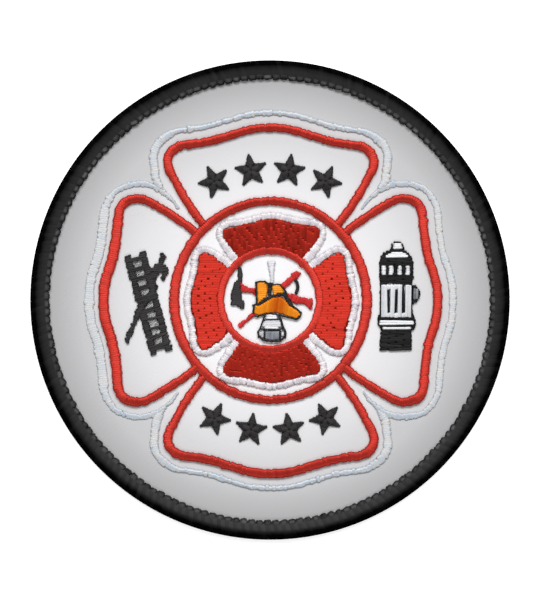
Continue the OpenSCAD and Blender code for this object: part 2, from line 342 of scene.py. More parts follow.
def rays(angles: np.ndarray) -> np.ndarray:
    """The unit vectors at some angles, in radians."""
    return np.stack([np.cos(angles), np.sin(angles)], axis=1)


def beside(path: np.ndarray, shift: float) -> np.ndarray:
    """A path moved to its own left by shift."""
    left = left_of(np.gradient(path, axis=0))
    return path + shift * left / np.linalg.norm(left, axis=1, keepdims=True)


def turned(points: Points, degrees: float) -> np.ndarray:
    """Points turned about the origin, anticlockwise."""
    angle = math.radians(degrees)
    turn = np.array([[math.cos(angle), math.sin(angle)], [-math.sin(angle), math.cos(angle)]])
    return np.asarray(points, float) @ turn


def drifted(points: np.ndarray, middle: np.ndarray, drift: tuple[float, float, float]) -> np.ndarray:
    """Points moved right and up, and turned about a middle, by the small drift of the sewing."""
    return turned(points - middle, drift[2]) + middle + drift[:2]


def circle(radius: float, count: int = 96) -> np.ndarray:
    """A closed circle about the patch's middle, whose last point is its first."""
    return radius * rays(np.linspace(0, math.tau, count + 1))


def resample(
    path: np.ndarray, pitch: float, reach: float = 0.15
) -> tuple[np.ndarray, np.ndarray, np.ndarray]:
    """Points at even distances along a path.

    Args:
        path: The path's points.
        pitch: Distance between two of the new points, about.
        reach: How far before and after a point the path's direction is taken.

    Returns:
        The points, the path's direction at each, and each one's share of the way.
    """
    steps = np.linalg.norm(np.diff(path, axis=0), axis=1)
    along = np.concatenate([[0.0], np.cumsum(steps)])
    count = max(int(round(along[-1] / pitch)), 1)
    share = (np.arange(count) + 0.5) / count
    places = [share * along[-1] + d for d in (-reach, 0, reach)]
    before, here, after = (np.stack([np.interp(p, along, axis) for axis in path.T], axis=1) for p in places)
    ahead = after - before
    return here, ahead / np.linalg.norm(ahead, axis=1, keepdims=True), share


def hatch(loops: list[Points], degrees: float, pitch: float) -> list[tuple[int, np.ndarray, np.ndarray]]:
    """Parallel rows of thread across a shape.

    Args:
        loops: The shape's outline, and the outline of each opening in it.
        degrees: Direction of the rows.
        pitch: Distance between two rows.

    Returns:
        The number, the start and the end of each stretch of thread.
    """
    level = [turned(loop, -degrees) for loop in loops]
    low = min(loop[:, 1].min() for loop in level)
    high = max(loop[:, 1].max() for loop in level)
    count = max(int(round((high - low) / pitch)), 1)
    found = []
    for row in range(count):
        y = low + (row + 0.5) * (high - low) / count
        crossings: list[float] = []
        for loop in level:
            after = np.roll(loop, -1, axis=0)
            cut = (loop[:, 1] > y) != (after[:, 1] > y)
            a, b = loop[cut], after[cut]
            crossings.extend(a[:, 0] + (y - a[:, 1]) * (b[:, 0] - a[:, 0]) / (b[:, 1] - a[:, 1]))
        crossings.sort()
        for x0, x1 in zip(crossings[::2], crossings[1::2]):
            found.append((row, turned([x0, y], degrees), turned([x1, y], degrees)))
    return found


@dataclass(frozen=True)
class Tube:
    """A straight closed tube as arrays, which a stitch or a strand of yarn bends to its own shape."""

    ring: np.ndarray
    section: np.ndarray
    faces: list[list[int]]
    uv: np.ndarray

    @classmethod
    def build(cls, rings: int, segments: int = 6) -> "Tube":
        """Extrudes a circle ring by ring and closes its ends.

        Args:
            rings: Rings of vertices from end to end.
            segments: Vertices in each ring.

        Returns:
            The tube: each vertex's ring and place in the section, the faces, and a UV for each corner.
        """
        bm = bmesh.new()
        bmesh.ops.create_circle(bm, segments=segments, radius=1.0)
        edges = list(bm.edges)
        for _ in range(rings - 1):
            grown = bmesh.ops.extrude_edge_only(bm, edges=edges)["geom"]
            verts = [g for g in grown if isinstance(g, bmesh.types.BMVert)]
            bmesh.ops.translate(bm, verts=verts, vec=(0, 0, 1))
            edges = [e for e in grown if isinstance(e, bmesh.types.BMEdge) and e.is_boundary]
            edges = [e for e in edges if all(v in verts for v in e.verts)]
        bmesh.ops.holes_fill(bm, edges=[e for e in bm.edges if e.is_boundary], sides=segments)
        bmesh.ops.recalc_face_normals(bm, faces=bm.faces)
        bm.verts.index_update()
        place = np.array([v.co[:] for v in bm.verts])
        faces = [[v.index for v in face.verts] for face in bm.faces]
        bm.free()
        angle = np.arctan2(place[:, 1], -place[:, 0]) / math.tau + 0.5
        uv = []
        for face in faces:
            around = angle[face] % 1.0
            around = np.where(np.ptp(around) > 0.5, np.where(around < 0.5, around + 1, around), around)
            uv.append(np.stack([place[face, 2] / (rings - 1), around], axis=1))
        return cls(np.rint(place[:, 2]).astype(int), place[:, :2], faces, np.concatenate(uv))


@dataclass(frozen=True)
class Stitching:
    """How closely, how high and how loosely a shape is sewn, in millimetres and degrees.

    Attributes:
        pitch: Distance between two threads that lie side by side.
        thread_w: Width of a thread.
        thread_t: Thickness of a thread.
        height: Height of its top over the face.
        shoulder: Reach of its rounded ends, as a share of their height.
        uneven: Spread of the heights.
        ragged: Spread of the lengths.
        drift: Spread of the places along the thread.
        swing: Spread of the directions.
        tint: Share of the thread's full colour, where the rest is its shade.
        tint_spread: Spread of the tints.
        dark_spot: Middle, reach and depth of a spot where the tint is lower.
        fade: Share of the tint that is lost at a thread's ends and sides: painted shade where the thread
            curves down.
        grain: Tint that is lost where a thread of a satin line runs up or down the patch: painted shade, as
            such a thread misses the highlight that threads across catch from the light above.
        under_tint: Tint of the threads under a satin line, kept low as painted shade under the line and in
            the gaps between its threads.
        run: Length of the stitches of a fill.
        lap: How far they reach over each other.
        lift: How far a thread's ends stay over the cloth.
        taper: How much slimmer a thread is at its ends.
        crown: How much higher its middle is than its shoulders, as a share.
    """

    pitch: float = 0.4
    thread_w: Measure = 0.6
    thread_t: float = 0.24
    height: Measure = 0.8
    shoulder: float = 0.5
    uneven: float = 0.008
    ragged: float = 0.1
    drift: float = 0.04
    swing: float = 2.0
    tint: Measure = 0.8
    tint_spread: float = 0.1
    dark_spot: tuple[float, ...] = ()
    fade: float = 0.0
    grain: float = 0.0
    under_tint: float = 0.1
    run: float = 4.0
    lap: float = 0.1
    lift: float = 0.0
    taper: float = 0.0
    crown: float = 0.0


@dataclass
class Stitches:
    """The stitches of one piece, and what all its sewing shares, in millimetres.

    Attributes:
        name: The piece's name.
        face_z: Height of the cloth's face.
        rows: Tables of stitches, one stitch in each row.
        sunk: Depth of a stitch's ends in the cloth.
        least: Shortest stitch, past the thread's thickness.
        low: Lowest stitch, as a share of the thread's thickness.
        width_spread: Spread of the threads' widths, as a share.
        under_pitch: Distance between the stitches under a satin line.
        under_long: Length of one of them.
        under_share: Their width and height, as shares of the line's own.
        under_least: Their least width.
        full_w: Least width of a satin line that stands at its full height.
        slim_h: Least height of a slimmer one, as a share.
        stagger: Rows of a fill after which its cuts stand in the same places again.
        first_cut: Place of the first row's first cut, in stitches.
        uncut: Longest row that is sewn in one stitch, in stitches.
        last_cut: Shortest stitch at the end of a row, in stitches.
        overlap: How far the stitches of a thin line reach over each other.
    """

    name: str
    face_z: float
    rows: list[np.ndarray] = field(default_factory=list)
    sunk: float = 0.1
    least: float = 0.12
    low: float = 0.8
    width_spread: float = 0.05
    under_pitch: float = 0.8
    under_long: float = 1.6
    under_share: tuple[float, float] = (0.55, 0.7)
    under_least: float = 0.3
    full_w: float = 0.8
    slim_h: float = 0.55
    stagger: int = 3
    first_cut: float = 0.4
    uncut: float = 1.35
    last_cut: float = 0.3
    overlap: float = 0.35

    def __post_init__(self) -> None:
        """Seeds the piece's own random numbers from its name."""
        self.rng = np.random.default_rng(zlib.crc32(self.name.encode()))

    def put(self, middle: np.ndarray, along: np.ndarray, length: Measure, style: Stitching) -> None:
        """Adds stitches, as rows of place, direction, base and size, then form and tint.

        Args:
            middle: The middle of each, on the face.
            along: The direction of each, as a unit vector.
            length: The length of each.
            style: How they are sewn.
        """
        count = len(middle)
        rng = self.rng
        swing = np.radians(rng.normal(0, style.swing, count))
        ax = along[:, 0] * np.cos(swing) - along[:, 1] * np.sin(swing)
        ay = along[:, 1] * np.cos(swing) + along[:, 0] * np.sin(swing)
        slide = rng.normal(0, style.drift, count)
        long = np.maximum(length + rng.normal(0, style.ragged, count), style.thread_t + self.least)
        tint = style.tint + rng.normal(0, style.tint_spread, count)
        if style.dark_spot:
            x, y, reach, depth = style.dark_spot
            tint -= depth * np.exp(-(((middle - (x, y)) / reach) ** 2).sum(axis=1))
        height = style.height + rng.normal(0, style.uneven, count)
        width = style.thread_w * (1 + rng.normal(0, self.width_spread, count))
        columns = [
            middle[:, 0] + ax * slide,
            middle[:, 1] + ay * slide,
            ax,
            ay,
            self.face_z - self.sunk + style.lift,
            long,
            width,
            style.thread_t,
            np.maximum(height + self.sunk - style.lift, style.thread_t * self.low),
            style.shoulder,
            style.taper,
            style.crown,
            tint,
            style.fade,
        ]
        self.rows.append(np.stack([np.broadcast_to(c, count) for c in columns], axis=1))

    def satin(self, path: np.ndarray, widths: Widths, style: Stitching, beyond: float = 0.0) -> None:
        """Sews a satin line: threads side by side across a path, over threads that run along it.

        Args:
            path: The line's middle.
            widths: Its widths.
            style: How it is sewn.
            beyond: The distance from the patch's middle within which the stitches are left out.
        """
        for pitch, is_under in ((self.under_pitch, True), (style.pitch, False)):
            spot, ahead, share = resample(path, pitch)
            kept = np.hypot(*spot.T) > beyond
            spot, ahead, wide = spot[kept], ahead[kept], np.interp(share, *widths)[kept]
            if is_under:
                slim = np.maximum(self.under_share[0] * wide, self.under_least)
                high = self.under_share[1] * style.height
                # The threads under the line are darker: painted shade where they show between the threads
                # above them
                under = replace(style, thread_w=slim, height=high, tint=style.under_tint)
                self.put(spot, ahead, self.under_long, under)
            else:
                left = left_of(ahead)
                high = style.height * np.clip(wide / self.full_w, self.slim_h, 1.0)
                # Threads that run up or down the patch lose tint: painted shade where they miss the highlight
                # of the threads that run across
                tint = style.tint - style.grain * left[:, 1] ** 2
                self.put(spot, left, wide, replace(style, height=high, tint=tint))

    def fill(self, loops: list[Points], degrees: float, style: Stitching) -> None:
        """Fills a shape with rows of stitches that are staggered from row to row.

        Args:
            loops: The outline and the openings.
            degrees: Direction of the threads.
            style: How it is sewn.
        """
        middles, alongs, lengths = [], [], []
        for row, start, end in hatch(loops, degrees, style.pitch):
            length = float(np.linalg.norm(end - start))
            if length < self.least:
                continue
            ahead = (end - start) / length
            cuts = [0.0]
            place = style.run * (self.first_cut + (row % self.stagger) / self.stagger)
            while length > self.uncut * style.run and place < length - self.last_cut * style.run:
                cuts.append(place)
                place += style.run
            cuts.append(length)
            for a, b in zip(cuts, cuts[1:]):
                middles.append(start + ahead * (a + b) / 2)
                alongs.append(ahead)
                lengths.append(b - a + style.lap)
        self.put(np.array(middles), np.array(alongs), np.array(lengths), style)

    def run(self, path: Points, width: float, step: float, style: Stitching) -> None:
        """Sews a thin line of single stitches, end to end.

        Args:
            path: The line.
            width: The thread's width.
            step: Length of one stitch.
            style: How it is sewn.
        """
        spot, ahead, _ = resample(np.asarray(path, float), step)
        self.put(spot, ahead, step + self.overlap, replace(style, thread_w=width))


def linked(name: str, data: Any) -> bpy.types.Object:
    """Adds an object to the scene."""
    made = bpy.data.objects.new(name, data)
    bpy.context.scene.collection.objects.link(made)
    return made


def from_bmesh(name: str, bm: bmesh.types.BMesh) -> bpy.types.Object:
    """Adds a bmesh's shape to the scene, and frees it."""
    mesh = bpy.data.meshes.new(name)
    bm.to_mesh(mesh)
    bm.free()
    return linked(name, mesh)


# One end of a stitch, from the cloth up to its flat top: share of its shoulder, share of its height, lean
STITCH_END = ((1.0, 0.0, 90.0), (0.92, 0.6, 58.0), (0.55, 0.95, 22.0), (0.0, 1.0, 0.0))


@dataclass
class Loom:
    """Turns stitches and strands into the meshes of finished pieces.

    Attributes:
        least_flat: Half of the shortest flat top of a stitch, in millimetres.
        fade_rate: How soon a thread's colour fades from its middle out, into painted shade at its ends and
            sides.
    """

    least_flat: float = 0.02
    fade_rate: float = 1.6

    def __post_init__(self) -> None:
        """Builds the tube that each stitch is bent from."""
        end = np.array(STITCH_END)
        self.arch = np.concatenate([end * (-1, 1, -1), [(0, 1, 0)], end[::-1]])
        self.tube = Tube.build(rings=len(self.arch))

    def mesh(
        self, name: str, tube: Tube, points: np.ndarray, tint: np.ndarray, lengths: np.ndarray
    ) -> bpy.types.Object:
        """Joins copies of a tube in one mesh.

        Args:
            name: The piece's name.
            tube: The tube that is copied.
            points: Places of each copy's vertices, in millimetres.
            tint: Tint of each vertex of each copy, from the shade at 0 to the thread's full colour at 1.
            lengths: Length of each copy, for its UV map.

        Returns:
            The piece.
        """
        copies, size = points.shape[:2]
        corners = np.concatenate([np.array(face) for face in tube.faces])
        sizes = np.array([len(face) for face in tube.faces])
        starts = np.concatenate([[0], np.cumsum(sizes)[:-1]])
        made = bpy.data.meshes.new(name)
        made.vertices.add(copies * size)
        made.vertices.foreach_set("co", (points * MM).astype(np.float32).ravel())
        made.loops.add(copies * len(corners))
        offset = np.arange(copies)[:, None]
        made.loops.foreach_set("vertex_index", (corners + offset * size).astype(np.int32).ravel())
        made.polygons.add(copies * len(sizes))
        made.polygons.foreach_set("loop_start", (starts + offset * len(corners)).astype(np.int32).ravel())
        made.update(calc_edges=True)
        made.polygons.foreach_set("use_smooth", np.ones(copies * len(sizes), bool))
        uv = np.repeat(tube.uv[None], copies, axis=0)
        uv[:, :, 0] *= lengths[:, None]
        made.uv_layers.new(name="thread").data.foreach_set("uv", uv.astype(np.float32).ravel())
        mark = made.attributes.new("tint", "FLOAT", "POINT")
        mark.data.foreach_set("value", tint.astype(np.float32).ravel())
        made.validate()
        return linked(name, made)

    def sew(self, stitches: Stitches) -> bpy.types.Object:
        """Bends a tube to the arch of each stitch and joins them all.

        Args:
            stitches: The stitches of one piece.

        Returns:
            The piece.
        """
        columns = np.concatenate(stitches.rows).T[:, :, None]
        x, y, ax, ay, base, long, wide, thick, high, shoulder, taper, crown, tint, fade = columns
        share, rising, lean = self.arch[self.tube.ring].T[:, None]
        half = np.sign(self.tube.ring - len(self.arch) // 2)[None]
        lean = np.radians(lean)
        out, across = self.tube.section.T[:, None]
        rise = high - thick / 2
        bow = np.minimum(shoulder * rise, long / 2 - thick / 2 - self.least_flat)
        flat = long / 2 - thick / 2 - bow
        forth = share * bow + half * flat + np.sin(lean) * out * thick / 2
        aside = across * wide / 2 * np.sqrt(1 - taper * share**2)
        up = rising * rise * (1 - crown * half**2) + np.cos(lean) * out * thick / 2
        points = np.stack([x + ax * forth - ay * aside, y + ay * forth + ax * aside, base + up], axis=2)
        # Threads that fade darken towards their ends and sides: painted shade
        tints = tint * (1 - fade * np.clip(self.fade_rate * (share**2 + across**2), 0, 1))
        return self.mesh(stitches.name, self.tube, points, tints, (long + 2 * high)[:, 0])


def finish_piece(piece: bpy.types.Object, node: str, material: bpy.types.Material) -> None:
    """Dresses a piece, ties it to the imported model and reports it.

    Args:
        piece: The new piece.
        node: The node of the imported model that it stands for.
        material: Its material.
    """
    piece.data.materials.append(material)
    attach(piece, "root")
    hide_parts(node)
    triangles = len(piece.data.loops) - 2 * len(piece.data.polygons)
    LOG.info("%s: %d triangles, for %s", piece.name, triangles, node)


@dataclass
class Embroidery:
    """What every embroidered figure shares: the loom, and the height of the patch's face."""

    layout: Layout
    loom: Loom

    def begin(self, node: str) -> Stitches:
        """Starts the stitches of the piece that stands for a node."""
        return Stitches(f"{node}_stitching", self.layout.face_z)

    def end(self, stitches: Stitches, finish: ThreadFinish) -> None:
        """Sews a piece and ties it to its node."""
        node = stitches.name.removesuffix("_stitching")
        finish_piece(self.loom.sew(stitches), node, finish.material())


# Half of the red line of a top or bottom lobe, then of a side lobe: out along the lobe, across it
END_LOBE_HALF = [
    [32.1, 0], [31.75, 3.7], [30.7, 7.4], [29.6, 11.1], [29.02, 14.45], [28.66, 16.88], [27.53, 18.52],
    [26.0, 19.15], [24.34, 18.88], [22.73, 18.02], [19.23, 16.12], [15.73, 13.72], [13.23, 11.72],
]  # fmt: skip
SIDE_LOBE_HALF = [
    [31.0, 0], [30.65, 3.7], [29.45, 7.4], [28.75, 11.1], [28.4, 14.4], [28.12, 16.62], [27.23, 18.11],
    [25.9, 18.73], [24.37, 18.9], [22.74, 18.41], [19.23, 16.41], [15.53, 13.91], [13.03, 11.91],
]  # fmt: skip
# The pale line's own stretch behind a lobe's corner, on the top and bottom lobes and on the side lobes
END_NOTCH = [[24.3, 21.5], [22.5, 21.3], [21.4, 20.75], [20.5, 20.0]]
SIDE_NOTCH = [[24.8, 21.65], [22.8, 21.5], [21.2, 20.9], [19.7, 19.9], [18.3, 18.6], [17.2, 17.2]]
# Half of a filled lobe of the small cross: out, across
FILL_HALF = [
    [14.95, 0], [14.75, 1.7], [14.25, 3.6], [13.85, 5.3], [13.7, 7.1], [13.5, 8.2], [12.75, 8.85],
    [11.7, 8.65], [10.3, 7.75], [8.9, 6.7],
]  # fmt: skip


def mirrored(shares: list[float], widths: list[float]) -> Widths:
    """The widths of a line whose second half mirrors its first."""
    return shares + [1 - s for s in shares[::-1]], widths + widths[::-1]


@dataclass
class FireCross(Embroidery):
    """The large cross: a red satin line round each lobe, and a pale one outside it."""

    # What holds four values has one for each lobe, in the order of Side
    # Points of the curve for each row of the half outlines, and the row at a lobe's corner
    steps: int = 3
    corner_row: int = 7
    # Width of the red line's legs, corners and heads, and where they hold, as shares of its way
    leg_w: float = 1.62
    corner_w: float = 1.86
    head_w: tuple[float, ...] = (1.78, 1.65, 2.04, 1.74)
    red_at: tuple[float, float, float, float] = (0.0, 0.15, 0.24, 0.3)
    # Distance from the patch's middle at which the red lines start
    red_from: float = 18.65
    # Width of the pale line near the corner and at the head, its distance from the red one, and its width
    # at the end of its tail
    pale_w: tuple[tuple[float, float], ...] = ((1.12, 1.35), (1.55, 1.0), (1.08, 1.82), (1.6, 0.98))
    pale_out: tuple[float, ...] = (2.85, 2.78, 2.68, 2.7)
    tail_w: float = 0.5
    # For the side lobes, then the end ones: height of the pale line, and the places of its widths, where the
    # first is a share of its tail and the others are shares of its way
    pale_h: tuple[float, float] = (0.29, 0.39)
    pale_at: tuple[tuple[float, ...], ...] = ((0.35, 0.2, 0.27), (0.1, 0.16, 0.23))
    # Distance from the patch's middle to the point that a lobe turns about, and each lobe's drift
    middle: float = 26.3
    drifts: tuple[tuple[float, float, float], ...] = (
        (0.12, -0.02, 0.45), (0.12, -0.09, -0.25), (0.1, -0.06, -0.2), (0.15, -0.13, -0.1),
    )  # fmt: skip
    red_style: Stitching = Stitching(
        shoulder=0.33, height=0.78, uneven=0.005, tint=0.86, tint_spread=0.07, crown=0.2, grain=0.16
    )
    pale_style: Stitching = Stitching(
        pitch=0.42, thread_w=0.72, thread_t=0.2, shoulder=0.6, uneven=0.01, ragged=0.12, swing=4.0,
        crown=0.25, under_tint=0.7, tint=0.9, tint_spread=0.07, grain=0.17,
    )  # fmt: skip

    def place(self, path: np.ndarray, side: Side) -> np.ndarray:
        """A lobe's path in its place on the cloth."""
        return drifted(turned(path, side.turn), turned([self.middle, 0], side.turn), self.drifts[side.value])

    def red_path(self, side: Side) -> np.ndarray:
        """The middle of a lobe's red line."""
        return self.place(smooth(whole(END_LOBE_HALF if side.is_end else SIDE_LOBE_HALF), self.steps), side)

    def pale_path(self, side: Side) -> tuple[np.ndarray, int]:
        """The middle of a lobe's pale line, and the number of rows in its tail."""
        half, notch = (END_LOBE_HALF, END_NOTCH) if side.is_end else (SIDE_LOBE_HALF, SIDE_NOTCH)
        head = beside(np.array(half[: self.corner_row + 1]), -self.pale_out[side.value])
        rows = whole(np.concatenate([head, notch]))
        return self.place(smooth(rows, self.steps), side), self.steps * len(notch)

    def build(self) -> list[np.ndarray]:
        """Sews both lines of each lobe.

        Returns:
            The paths of all the lines.
        """
        paths = []
        for side in Side:
            red = self.begin(f"red_outline_{side.word}")
            path = self.red_path(side)
            widths = [self.leg_w, self.leg_w, self.corner_w, self.head_w[side.value]]
            red.satin(path, mirrored(list(self.red_at), widths), self.red_style, beyond=self.red_from)
            self.end(red, RED)
            pale = self.begin(f"pale_outline_{side.word}")
            line, tail_rows = self.pale_path(side)
            tail_at, near_at, head_at = self.pale_at[side.is_end]
            near, head = self.pale_w[side.value]
            shares = [0, tail_at * (tail_rows / (len(line) - 1)), near_at, head_at]
            style = replace(self.pale_style, height=self.pale_h[side.is_end])
            pale.satin(line, mirrored(shares, [self.tail_w, near, near, head]), style)
            self.end(pale, SILVER)
            paths += [path, line]
        return paths


@dataclass
class Rings(Embroidery):
    """The hub ring, which the stitching draws slightly oval, and the centre ring."""

    # Half of the hub ring across and up, its middle, and its width at the sides and at the ends
    hub_r: tuple[float, float] = (17.88, 18.45)
    hub_middle: tuple[float, float] = (0.1, -0.08)
    hub_w: tuple[float, float] = (1.98, 1.62)
    centre_r: float = 9.2
    centre_w: float = 1.5
    hub_style: Stitching = Stitching(
        height=0.78, shoulder=0.33, uneven=0.005, tint=0.82, tint_spread=0.07, crown=0.2, grain=0.17
    )
    centre_style: Stitching = Stitching(height=0.66, shoulder=0.2, ragged=0.1, tint=0.97, crown=0.1)

    def build(self) -> list[np.ndarray]:
        """Sews both rings and returns their paths."""
        hub = circle(1) * self.hub_r + self.hub_middle
        wide, slim = self.hub_w
        centre = circle(self.centre_r)
        for node, path, widths, style in (
            ("hub_ring", hub, ([0, 0.25, 0.5, 0.75, 1], [wide, slim, wide, slim, wide]), self.hub_style),
            ("centre_ring", centre, ([0, 1], [self.centre_w, self.centre_w]), self.centre_style),
        ):
            ring = self.begin(node)
            ring.satin(path, widths, style)
            self.end(ring, RED)
        return [hub, centre]


@dataclass
class SmallCross(Embroidery):
    """The small cross: four filled lobes, each with a white rim, outside the centre ring."""

    # The arc at a lobe's foot: its radius, half its turn in degrees and its points
    foot_r: float = 9.7
    foot_turn: float = 36.0
    foot_count: int = 15
    # Points of the curve for each row of the half outline
    steps: int = 2
    # The rim: its width along a lobe and at its feet, the share of its way that a foot takes, its distance
    # from the fill, and its end, out along the lobe and across it
    rim_w: float = 1.38
    leg_w: float = 1.85
    leg_share: float = 0.13
    edge_gap: float = 0.05
    rim_end: tuple[float, float] = (7.8, 5.7)
    # Distance from the patch's middle to the point that a lobe turns about, and each lobe's drift
    middle: float = 12.9
    drifts: tuple[tuple[float, float, float], ...] = (
        (0.15, -0.19, -0.6), (0.25, -0.05, 0.5), (0.3, -0.2, -0.6), (0.35, -0.3, 1.2),
    )  # fmt: skip
    fill_style: Stitching = Stitching(
        pitch=0.45, thread_w=0.7, thread_t=0.2, height=0.62, shoulder=0.35, uneven=0.014, ragged=0.2,
        swing=1.2, run=3.5, lift=0.3, lap=0.04,
    )  # fmt: skip
    # Length of the stitches, spread of their tint, and tint, where the threads run up and down: top, bottom
    end_run: float = 2.2
    end_spread: float = 0.28
    end_tint: tuple[float, float] = (0.75, 1.1)
    # The threads under a fill have no tint: painted shade where they show between its stitches
    under_style: Stitching = Stitching(pitch=0.8, thread_w=1.0, height=0.42, tint=0.0, run=30.0)
    rim_style: Stitching = Stitching(
        height=0.62, shoulder=0.4, ragged=0.12, tint=0.82, tint_spread=0.15, crown=0.32, grain=0.12,
        under_tint=0.5,
    )  # fmt: skip

    def build(self) -> list[np.ndarray]:
        """Sews the fill and the rim of each lobe.

        Returns:
            The paths of the rims.
        """
        paths = []
        foot_angles = np.radians(np.linspace(self.foot_turn, -self.foot_turn, self.foot_count))
        foot = self.foot_r * rays(foot_angles)
        rim_line = smooth(whole([*FILL_HALF, list(self.rim_end)]), self.steps)
        rim_line = beside(rim_line, -self.rim_w / 2 - self.edge_gap)
        widths = mirrored([0, self.leg_share], [self.leg_w, self.rim_w])
        for side in Side:
            middle, drift = turned([self.middle, 0], side.turn), self.drifts[side.value]
            edge = drifted(turned(smooth(whole(FILL_HALF), self.steps), side.turn), middle, drift)
            outline = np.concatenate([edge, turned(foot, side.turn)])
            style = self.fill_style
            if side.is_end:
                tint = self.end_tint[side is Side.BOTTOM]
                style = replace(style, run=self.end_run, tint=tint, tint_spread=self.end_spread)
            fill = self.begin(f"cross_fill_{side.word}")
            fill.fill([outline], side.turn + 90, self.under_style)
            fill.fill([outline], side.turn, style)
            self.end(fill, DARK_RED)
            rim = self.begin(f"cross_rim_{side.word}")
            path = drifted(turned(rim_line, side.turn), middle, drift)
            rim.satin(path, widths, self.rim_style, beyond=self.foot_r)
            self.end(rim, WHITE)
            paths.append(path)
        return paths


@dataclass
class Stars(Embroidery):
    """A row of plain five-pointed stars in the top lobe, and one in the bottom lobe."""

    count: int = 4
    radius: float = 3.5
    waist: float = 0.42
    # Distance of the stars from the patch's middle, and from each other
    arc_r: float = 24.3
    pitch: float = 7.1
    edge_h: float = 0.25
    middle_h: float = 0.8
    # Shortest thread of an arm, and how much longer each thread is than the arm is wide there
    least_w: float = 0.3
    reach: float = 0.12
    # The threads that close a star's middle: distance from it, length, width and height
    core: tuple[float, float, float, float] = (0.9, 1.9, 0.9, 0.7)
    style: Stitching = Stitching(pitch=0.34, thread_w=0.42, thread_t=0.3, ragged=0.05, drift=0.02)

    def sew_star(self, stitches: Stitches, middle: np.ndarray, facing: float) -> None:
        """Sews one star, with threads across each arm.

        Args:
            stitches: The star's stitches.
            middle: The star's middle.
            facing: Direction of its first arm, in degrees.
        """
        arms = 5
        half_arm = math.radians(180 / arms)
        wide_at = self.waist * self.radius * math.cos(half_arm)
        widest = 2 * self.waist * self.radius * math.sin(half_arm)
        down = np.arange(self.style.pitch / 2, self.radius, self.style.pitch)
        shut = (self.radius - down) / (self.radius - wide_at)
        width = np.where(down < wide_at, down / wide_at, shut) * widest
        high = self.edge_h + (self.middle_h - self.edge_h) * (1 - down / self.radius)
        kept = width > self.least_w
        core_out, core_long, core_w, core_h = self.core
        for arm in range(arms):
            along = turned([[1, 0]], facing + 360 / arms * arm)
            spot = middle + down[kept, None] * along
            across = np.repeat(left_of(along), len(spot), axis=0)
            stitches.put(spot, across, width[kept] + self.reach, replace(self.style, height=high[kept]))
            core_style = replace(self.style, thread_w=core_w, height=core_h)
            stitches.put(middle + along * core_out, along, core_long, core_style)

    def build(self) -> None:
        """Sews each star as a piece of its own."""
        step = math.degrees(self.pitch / self.arc_r)
        for word, turn, flip in (("top", 90, 0), ("bottom", 270, 180)):
            for i in range(1, self.count + 1):
                around = turn + (i - (self.count + 1) / 2) * step
                star = self.begin(f"{word}_star_{i}")
                self.sew_star(star, turned([self.arc_r, 0], around), around + flip)
                self.end(star, BLACK)


def box(left: float, right: float, low: float, high: float) -> np.ndarray:
    """The four corners of an upright box."""
    return np.array([[left, low], [right, low], [right, high], [left, high]])


# The head of the pole beside the ladder, with its spike and its hook, and the foot of the pole
POLE_HEAD = [
    [-22.5, 5.9], [-21.65, 6.1], [-21.5, 6.75], [-20.65, 6.95], [-20.55, 7.8], [-20.36, 8.55],
    [-20.0, 8.75], [-19.1, 8.05], [-19.65, 7.5], [-19.75, 6.7], [-19.1, 6.4], [-18.8, 5.1], [-19.2, 4.65],
    [-19.5, 3.7], [-19.95, 3.55], [-20.3, 4.1], [-19.95, 4.7], [-20.3, 5.1], [-20.9, 4.3], [-21.2, 3.5],
    [-21.1, 1.4], [-22.5, 1.0],
]  # fmt: skip
POLE_FOOT = [
    [-24.8, -1.6], [-25.35, -3.35], [-25.95, -5.05], [-26.65, -6.1], [-26.65, -6.8], [-27.1, -7.5],
    [-26.65, -8.1], [-26.1, -7.9], [-26.2, -7.3], [-25.7, -6.9], [-25.25, -5.9], [-24.85, -4.4],
    [-24.2, -3.5], [-23.8, -1.6],
]  # fmt: skip


@dataclass
class LadderAndPole(Embroidery):
    """The ladder, and the hooked pole that leans across it."""

    middle: tuple[float, float] = (-22.62, -0.6)
    tilt: float = 15.0
    length: float = 19.1
    width: float = 4.25
    rail_w: float = 1.35
    gap_h: float = 1.15
    horn_h: float = 0.8
    # Middle of each gap between two rungs, down from the ladder's top
    gaps: tuple[float, ...] = (1.9, 3.75, 5.6, 7.4, 9.9, 11.6, 13.3, 15.0, 16.7)
    # The pole's shaft from the ladder out and its widths, and the direction of the threads of its ends
    shaft: tuple[tuple[float, float], ...] = ((-25.0, -3.4), (-21.2, 2.45))
    shaft_w: tuple[float, float] = (0.9, 1.2)
    end_turn: float = 8.0
    style: Stitching = Stitching(
        pitch=0.36, thread_w=0.42, thread_t=0.3, height=0.5, ragged=0.14, swing=4.0, tint=0.85,
        tint_spread=0.2,
    )  # fmt: skip
    # Sparse thin threads that veil each gap, and how far they lean from the rungs
    veil_style: Stitching = Stitching(
        pitch=0.22, thread_w=0.08, thread_t=0.07, height=0.25, ragged=0.25, swing=12.0, tint=0.9
    )
    veil_turn: float = 20.0

    def build(self) -> None:
        """Sews the rails and rungs across the ladder, then the pole with its hook, its spike and its foot."""
        stitches = self.begin("ladder_and_pole")
        opening = self.width / 2 - self.rail_w
        half, horn, gap_h = self.length / 2, self.horn_h, self.gap_h / 2
        whole_ladder = box(-self.width / 2, self.width / 2, -half, half)
        gaps = [box(-opening, opening, half - gap - gap_h, half - gap + gap_h) for gap in self.gaps]
        horns = [box(-opening, opening, -half, horn - half), box(-opening, opening, half - horn, half)]
        placed = [turned(loop, self.tilt) + self.middle for loop in (whole_ladder, *gaps, *horns)]
        stitches.fill(placed, self.tilt, self.style)
        for gap in placed[1 : 1 + len(gaps)]:
            stitches.fill([gap], self.tilt + self.veil_turn, self.veil_style)
        stitches.satin(np.array(self.shaft), ([0, 1], list(self.shaft_w)), self.style)
        for end in (POLE_HEAD, POLE_FOOT):
            stitches.fill([end], self.end_turn, self.style)
        self.end(stitches, BLACK)


